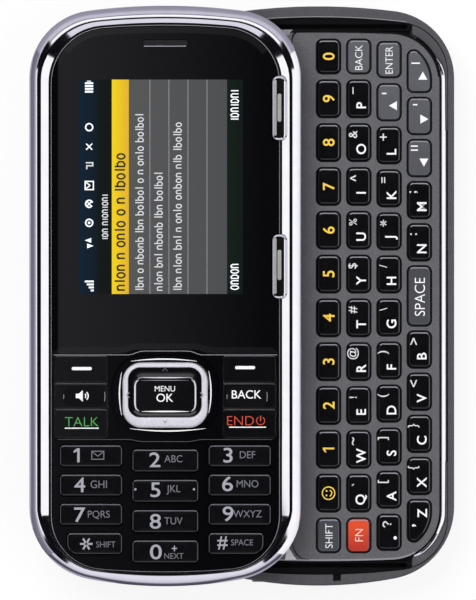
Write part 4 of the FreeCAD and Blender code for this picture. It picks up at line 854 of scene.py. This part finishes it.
# a painted highlight along the inner edge of the rim above the top slot
wellRim = [(x, y) for x, y in shellOutline(deckX, 24.8, (53.5, 145, 10), steps=28) if 4 < x < 32 and y > 40]
Pen("keyboard_half", 9, deckTop["rim"]).stroke("edgeLine", 0.14, wellRim)

# smiling face
smile, pen = caps["number_row_keys"][10], pens["number_row_keys"]
pen.stroke("yellow", 0.22, arcPoints(smile["x"], smile["y"], 1.2, 0, 346, 28), closed=True)
pen.stroke("yellow", 0.2, arcPoints(smile["x"], smile["y"], 0.62, -70, 70, 10))
for side in (-0.42, 0.42):
    pen.dot("yellow", smile["x"] - 0.38, smile["y"] + side, 0.17)

# arrows: a triangle, with one bar or two at its tail
for triangle, bars in (
        (((423, 71.5), (418.5, 79.5), (427.5, 79.5)), [((411.5, 63), (420, 63))]),
        (((428.5, 119), (420.5, 114.5), (420.5, 123.5)), [((413, 104.5), (417.5, 104.5))]),
        (((424, 166.5), (419.5, 158.5), (428.5, 158.5)),
         [((411, 146), (418, 146)), ((411, 150), (418, 150))]),
        (((389, 105.5), (397, 101), (397, 110)), [((382, 93.3), (386.5, 93.3))])):
    pens["arrow_keys"].fill("white", *triangle)
    for bar in bars:
        pens["arrow_keys"].line("white", 0.26, *bar)

# number keys: digit, letters and signs, each with its place and height
padMarks = {
    "key_2": [("2", 155, 459.5, 14.5), ("ABC", 173.5, 458.5, 7)],
    "key_3": [("3", 228, 455, 14.5), ("DEF", 247.5, 454.5, 7)],
    "key_4": [("4", 80, 484.5, 14.5), ("GHI", 99, 484, 7.5)],
    "key_5": [("5", 155.5, 489.5, 14.5), ("JKL", 173.5, 489.5, 7)],
    "key_6": [("6", 227.5, 483.5, 14.5), ("MNO", 247.5, 483.5, 7)],
    "key_7": [("7", 80, 514.5, 14.5), ("PQRS", 99, 514.5, 7)],
    "key_8": [("8", 155.5, 521, 14.5), ("TUV", 173.5, 520.5, 7)],
    "key_9": [("9", 228, 513.5, 14.5), ("WXYZ", 247.5, 513.5, 7)],
    "key_star": [("SHIFT", 106, 544, 5.8)],
    "key_0": [("0", 156, 551.5, 14.5), ("+", 174.5, 548, 8), ("NEXT", 174, 555.5, 5.6)],
    "key_hash": [("#", 222.5, 542.5, 13), ("SPACE", 242, 542, 5.8)],
}
digitWidths = {"4": 1.1, "0": 1.25, **dict.fromkeys("2356789", 1.18)}
for label, entries in padMarks.items():
    for text, x, y, height in entries:
        finish, bold = ("digit", 0.006) if height > 7.5 else ("letter", 0)
        pens[label].text(finish, text, *px(x, y), height, bold, narrow=digitWidths.get(text, 0.93))
pens["key_1"].one("digit", *px(77.5, 455), 14, 0.46)
for turn in (0, 60, 120):
    pens["key_star"].stroke("digit", 0.36, barPoints(*px(86.5, 543.5), 1.2, turn))
pens["key_1"].line("letter", 0.18, (92, 451), (104, 451), (104, 459), (92, 459), closed=True)
pens["key_1"].line("letter", 0.16, (92.5, 451.5), (98, 456), (103.5, 451.5))
for x in (135.5, 194):
    pens["key_5"].dot("digit", *px(x, 489), 0.22)

# keys beside the ring
for label, x, y in (("soft_key_left", 82, 368.5), ("soft_key_right", 245, 367.5)):
    pens[label].plate("white", roundedOutline(*px(x, y), 20 * pixel, 3.2 * pixel, 1.4 * pixel, 4))
for label, x0, x1 in (("speaker_key", 63, 106), ("clear_key", 226, 268)):
    pen = pens[label]
    Pen(label, pen.low, pen.high - 0.006).plate(
        "railBlack", roundedOutline(*px((x0 + x1) / 2, 396.5), (x1 - x0) * pixel, 20.5 * pixel, 1.9))
    # painted highlights at both ends of the inner capsule
    for x, tall in ((x0 + 0.8, 2.2), (x1 - 1.2, 4.5)):
        pen.line("edgeLine", 0.13, (x, 396.5 - tall), (x + 0.4, 396.5), (x, 396.5 + tall))
for label, finish, text, place, height, bold, narrow in (
        ("clear_key", "white", "BACK", (246.5, 394.3), 8.2, 0.004, 0.98),
        ("talk_key", "green", "TALK", (82, 421.5), 9, -0.014, 1.03),
        ("end_key", "red", "END", (240.5, 420.5), 9, -0.014, 1.03)):
    pens[label].text(finish, text, *px(*place), height, bold, narrow=narrow)
pens["talk_key"].line("white", 0.2, (65, 428), (99, 428))
pen, (powerX, powerY) = pens["end_key"], px(260.5, 420.5)
pen.line("white", 0.2, (229, 427), (266, 427))
pen.stroke("red", 0.16, arcPoints(powerX, powerY, 0.78, 125, 415, 18))
pen.stroke("red", 0.18, [(powerX, powerY - 0.1), (powerX, powerY + 0.95)])
pen = pens["speaker_key"]
pen.fill("white", (76, 393.5), (79, 393.5), (83, 390), (83, 401.5), (79, 398), (76, 398))
for radius in (2.6, 5):
    pen.stroke("white", 0.22, arcPoints(*px(83.5, 395.8), radius * pixel, -48, 48, 8))

# OK key and ring; painted highlights along the OK key's sides and along its upper and lower edges
okTop = caps["ok_key"][0]["high"]
okSideHighlightPen, okRowHighlightPen = [Pen("ok_key", okTop - 0.4, okTop - below) for below in (0.02, 0.01)]
okSide = ((26.5, 379.6), (29.3, 382.4), (30.2, 386), (30.2, 404), (29.2, 408.4), (26.2, 411.2))
for side in (-1, 1):
    okSideHighlightPen.line("softWhite", 0.28, *[(165.3 + side * x, y) for x, y in okSide], tapered=True)
for y, x0, x1, width, finish in ((377.6, 143, 187, 0.2, "softWhite"), (380.2, 141, 189, 0.13, "edgeLine"),
                                 (411.3, 142, 189, 0.28, "white")):
    okRowHighlightPen.line(finish, width, *[(x0 + (x1 - x0) * i / 8, y) for i in range(9)], tapered=True)
pens["ok_key"].text("white", "MENU", *px(165, 388.6), 5.4, narrow=0.97)
pens["ok_key"].text("white", "OK", *px(165, 397.6), 8, 0.004)
for x, y, turn in ((165, 369.6, 90), (165, 421, -90), (128, 395, 180), (202, 395, 0)):
    finish, high = ("dimLine", 17.14) if turn == 90 else ("edgeLine", navRing["top"] - 0.005)
    (middleX, middleY), c, s = px(x, y), cos(radians(turn)), sin(radians(turn))
    Pen("nav_ring", 16.95, high).stroke(finish, 0.22, [
        (middleX + along * c - across * s, middleY + along * s + across * c)
        for along, across in ((-0.28, 0.5), (0.28, 0), (-0.28, -0.5))])

# painted highlights: bright arcs round the ring, and fine pale lines along the edges where the black pieces
# of the face meet
for places in (((131, 361.2), (164, 359), (197, 361.2)), ((121.8, 372), (119.6, 394), (121.8, 415)),
               ((208.8, 371), (211, 392), (208.8, 413)), ((130, 428.4), (168, 430.8), (206, 428.2))):
    arc = bowPoints(*[px(*place) for place in places])
    Pen("display_half", 16.2, 16.6).stroke("white", 0.26, arc, tapered=True)
for y, middle, x0, x1, finish, low, high in ((354.8, 351, 54, 277, "edgeLine", 16.5, 16.98),
                                             (439.3, 441.4, 58, 272, "dimLine", 16.8, 16.975)):
    swell = [(132, 0.12), (136, 0.55), (140, 0.9), (144, 1), (187, 1), (191, 0.9), (195, 0.55), (199, 0.12)]
    Pen("display_half", low, high).line(finish, 0.13, (x0, y), (129, y), *[
        (x, y + (middle - y) * share) for x, share in swell], (202, y), (x1, y))
Pen("display_half", 16.9, 17.108).line("paleLine", 0.16, (144, 46.6), (186, 46.6))
print("legends made")


# a lit area of the display; its colour runs from one side to the other
def litPanel(name, first, last, x0, x1):
    f = newFinish(name)
    share = f.share("x", px(x0, 0)[0], px(x1, 0)[0])
    weave = f.noise(0.25, 2) * 0.12 + 0.94
    tint = f.blended(share, rgb(first), rgb(last))
    tint = f.add("ShaderNodeVectorMath", {"operation": "SCALE"}, {0: tint, 3: weave})
    return f.principled({
        "Base Color": (0.004, 0.004, 0.005, 1), "Roughness": 0.1, "Emission Color": tint,
        "Emission Strength": 1})


# the display's picture: its ends and heights, and its lit areas from one side to the other
screen = {
    "top": 80, "bottom": 294, "signs": 89.4,
    "floor": 17.08, "panelTop": 17.112, "lineTop": 17.118, "markTop": 17.124,
    "panels": {"litStatus": ("091f30", "071620", 79, 98), "litTitle": ("0b120d", "0a0f0b", 98, 112),
               "litYellow": ("f5d414", "e3b32c", 112, 129), "litGrey": ("565656", "4c4e50", 129, 227),
               "litSoft": ("0d1a10", "08120b", 227, 243)},
}


def litBox(x0, y0, x1, y1, finish, top=screen["markTop"]):
    outline = roundedOutline(*px((x0 + x1) / 2, (y0 + y1) / 2), (x1 - x0) * pixel, (y1 - y0) * pixel, 0.02, 3)
    Pen("display_half", screen["floor"], top).plate(finish, outline)


for name, (first, last, x0, x1) in screen["panels"].items():
    finishes[name] = litPanel(name, first, last, x0, x1)
    litBox(x0, screen["top"], x1, screen["bottom"], name, screen["panelTop"])
for x in (150, 169, 188, 207):
    litBox(x - 0.4, screen["top"], x + 0.4, screen["bottom"], "litLine", screen["lineTop"])

# lines of writing too small to read, word by word from the bottom upwards: where a line stands and starts,
# its words by their count of signs, and its look (pitch, height of a ring and of a stem, finish, width)
usual, heading = (5.6, 5.2, 8.2, "litText", 0.2), (5.4, 7.6, 7.6, "litWhite", 0.2)
writing = (
    (108, 240, (3, 8), (4.6, 5.4, 5.4, "litText", 0.2)),
    (125, 291, (4, 1, 4, 1, 1, 6), (7.6, 7.6, 10.2, "litDark", 0.34)),
    (143.5, 291, (3, 1, 5, 3, 6, 1, 1, 4, 6), usual), (162.5, 291, (4, 3, 5, 3, 6), usual),
    (181.5, 291, (3, 4, 3, 1, 4, 5, 3, 6), usual), (238.5, 290, (5,), heading), (238.5, 121, (7,), heading),
)


# one sign of the writing as strokes: each place is a share of the pitch and of the height
def signStrokes(kind, high):
    if kind == 0:
        angles = [radians(a) for a in range(0, 346, 15)]
        return [[(0.44 + 0.33 * cos(a), 0.5 + 0.5 * sin(a)) for a in angles]]
    if kind == 1:
        return [[(0.12, 0), (0.12, 1)], [(0.12, 0.72), (0.3, 0.97), (0.56, 0.97), (0.72, 0.75), (0.72, 0)]]
    if kind == 2:
        return [[(0.3, 0), (0.3, high)]]
    return [[(0.12, 0), (0.12, high)],
            [(0.12, 0.08), (0.45, 0), (0.74, 0.25), (0.74, 0.75), (0.45, 1), (0.12, 0.9)]]


screenPen = Pen("display_half", screen["floor"], screen["markTop"])
for base, y, words, (pitch, low, tall, finish, width) in writing:
    count = 0
    for letters in words:
        for letter in range(letters):
            count += 1
            kind = (count * 5 + letters * 3 + count // 3) % 4
            for places in signStrokes(kind, tall / low):
                places = [(base - along * low, y - across * pitch) for across, along in places]
                screenPen.line(finish, width, *places, closed=kind == 0)
            y -= pitch * (0.62 if kind == 2 else 1)
        y -= pitch * 0.55

# status signs: battery, signal and plain shapes
signalBars = [(94 - tall, y - 0.9, 94, y + 0.9)
              for y, tall in ((281.5, 9), (284.5, 7), (287.5, 5), (290.5, 3))]
for x0, y0, x1, y1 in ((85.2, 82.8, 93.4, 84.4), (85.2, 85.4, 93.4, 87.2), (85.2, 88.2, 93.4, 90),
                       (85.2, 91, 93.4, 93), (87.3, 81.2, 91.2, 82), *signalBars):
    litBox(x0, y0, x1, y1, "litWhite")
middle = screen["signs"]
for y, first, last in ((127.5, 0, 346), (204, 20, 300), (223, 0, 346)):
    screenPen.stroke("litWhite", 0.26, arcPoints(*px(middle, y), 0.68, first, last), closed=last == 346)
for y in (147, 204):
    for turn in (45, 135):
        screenPen.line("litWhite", 0.22, *barPoints(middle, y, 4.2, turn))
screenPen.line("litText", 0.24, (86, 163), (93, 163), (93, 166), (87, 166), (87, 169.5))
screenPen.line("litWhite", 0.22, (85.4, 181.6), (93.6, 181.6), (93.6, 189.8), (85.4, 189.8), closed=True)
screenPen.line("litWhite", 0.2, (85.6, 182), (90.2, 185.7), (85.6, 189.4))
screenPen.fill("litWhite", (middle, 221.4), (91, 223), (middle, 224.6), (87.8, 223))
for y, turn in ((240.5, 1), (246, -1)):
    screenPen.fill("litWhite", (middle - 4.4 * turn, y), (middle + 2 * turn, y - 2.4),
                   (middle + 2 * turn, y + 2.4))
for body, (vertices, faces, used) in marks.items():
    meshPiece("marks_" + body, body, (vertices, faces), used, crease=30)
print("display picture made")


stage = {
    "size": 3, "below": 0.0004, "cover": 0.86,
    "paper": (0.9, 0.9, 0.9, 1), "white": (1, 1, 1, 1), "lilac": (0.42, 0.4, 0.5, 1),
}


def makeStage():
    size, mesh = stage["size"], bpy.data.meshes.new("floor")
    corners = [(-size, -size, 0), (size, -size, 0), (size, size, 0), (-size, size, 0)]
    mesh.from_pydata(corners, [], [(0, 1, 2, 3)])
    floor = placed("floor", mesh)
    floor.location.z = -stage["below"]
    f = newFinish("paleFloor")
    camera, glossy, through = f.rays()
    paper = f.add("ShaderNodeBsdfDiffuse", {}, {"Color": stage["paper"]})
    white, lilac = [f.add("ShaderNodeEmission", {}, {"Color": stage[key], "Strength": 1})
                    for key in ("white", "lilac")]
    seen = f.mixed((camera + through).clamped() * stage["cover"], paper, white)
    mesh.materials.append(f.output(f.mixed(glossy, seen, lilac)))


# what plated metal mirrors on each side, from the horizon (0) to straight above (1); dark between the boxes
studio = {
    "dark": "0c0b10", "sideEnds": (0.5, 0.47), "endStarts": (0.94, 0.98), "meet": 0.72, "skew": 0.28,
    "opens": (0.6, 0.54), "strength": 1.12,
    "right": [(0, "ececf2"), (0.4, "ffffff"), (0.86, "ffffff"), (0.9, "0c0b10")],
    "left": [(0, "66646f"), (0.42, "7f7c8b"), (0.48, "aeabba"), (0.61, "b4b1c0"), (0.64, "ffffff"),
             (0.72, "ffffff"), (0.76, "0c0b10")],
    "far": [(0, "8d8b99"), (0.36, "a09eac"), (0.42, "c0becb"), (0.71, "c8c6d3"), (0.74, "7b7986"),
            (0.79, "7b7986"), (0.82, "ffffff"), (0.95, "ffffff"), (0.97, "0c0b10")],
    "near": [(0, "45444e"), (0.24, "56555f"), (0.34, "c4c2d0"), (0.6, "dedce8"), (0.95, "e6e4ee"),
             (0.98, "0c0b10")],
}


def makeWorld():
    f = Finish(bpy.data.worlds.new("studio"))
    bpy.context.scene.world = f.owner
    x, y, z = f.parts(f.add("ShaderNodeTexCoord", out=0))
    # the four boxes stand apart at the corners; high up they meet
    turned = x.maths("ARCTAN2", y.maths("ABSOLUTE", y), x.maths("ABSOLUTE", x)) + (y > 0) * studio["skew"]
    beside, ahead = turned < studio["meet"], turned > studio["meet"]
    boxes = x.maths("MAXIMUM", turned.step(*studio["sideEnds"]), turned.step(*studio["endStarts"]))
    boxes = x.maths("MAXIMUM", boxes, z.step(*studio["opens"]))
    sky = rgb(studio["dark"])
    for side, mask in {"right": beside * (x > 0), "left": beside * (x < 0), "far": ahead * (y > 0),
                       "near": ahead * (y < 0)}.items():
        stops = [(height, rgb(colour)) for height, colour in studio[side]]
        sky = f.blended(mask * boxes, sky, f.add("ShaderNodeValToRGB", {"stops": stops}, {0: z}))
    camera, glossy, through = f.rays()
    paper = (1, 1, 1, 1)
    soft, mirrored, white = [f.add("ShaderNodeBackground", {}, {"Color": colour, "Strength": strength})
                             for colour, strength in ((paper, 0.45), (sky, studio["strength"]), (paper, 1))]
    direct = (camera + through).clamped()
    f.output(f.mixed(direct, f.mixed(glossy, soft, mirrored), white), "ShaderNodeOutputWorld")


lamps = {
    "keyLamp": {"place": (-0.25, 0.35, 0.7), "size": 0.5, "power": 5},
    "fillLamp": {"place": (0.45, -0.15, 0.6), "size": 0.6, "power": 2.2},
}


def makeLamps():
    for name, lamp in lamps.items():
        light = bpy.data.lights.new(name, "AREA")
        light.size = lamp["size"]
        light.energy = lamp["power"]
        item = placed(name, light)
        item.location = lamp["place"]
        item.rotation_euler = (-Vector(lamp["place"])).to_track_quat("-Z", "Y").to_euler()
        item.visible_glossy = False


view = {"centre": (-0.77, -0.77), "distance": 3, "frameHeight": 114.83, "plane": 12, "sensor": 24}


def makeCamera():
    data = bpy.data.cameras.new("camera")
    data.sensor_fit = "VERTICAL"
    data.sensor_height = view["sensor"]
    data.lens = view["sensor"] * (view["distance"] / mm - view["plane"]) / view["frameHeight"]
    data.clip_start = 0.01
    data.clip_end = 20
    camera = placed("camera", data)
    camera.location = (view["centre"][0] * mm, view["centre"][1] * mm, view["distance"])
    bpy.context.scene.camera = camera


makeStage()
makeWorld()
makeLamps()
makeCamera()
bpy.context.scene.view_settings.view_transform = "Standard"
print("stage ready")
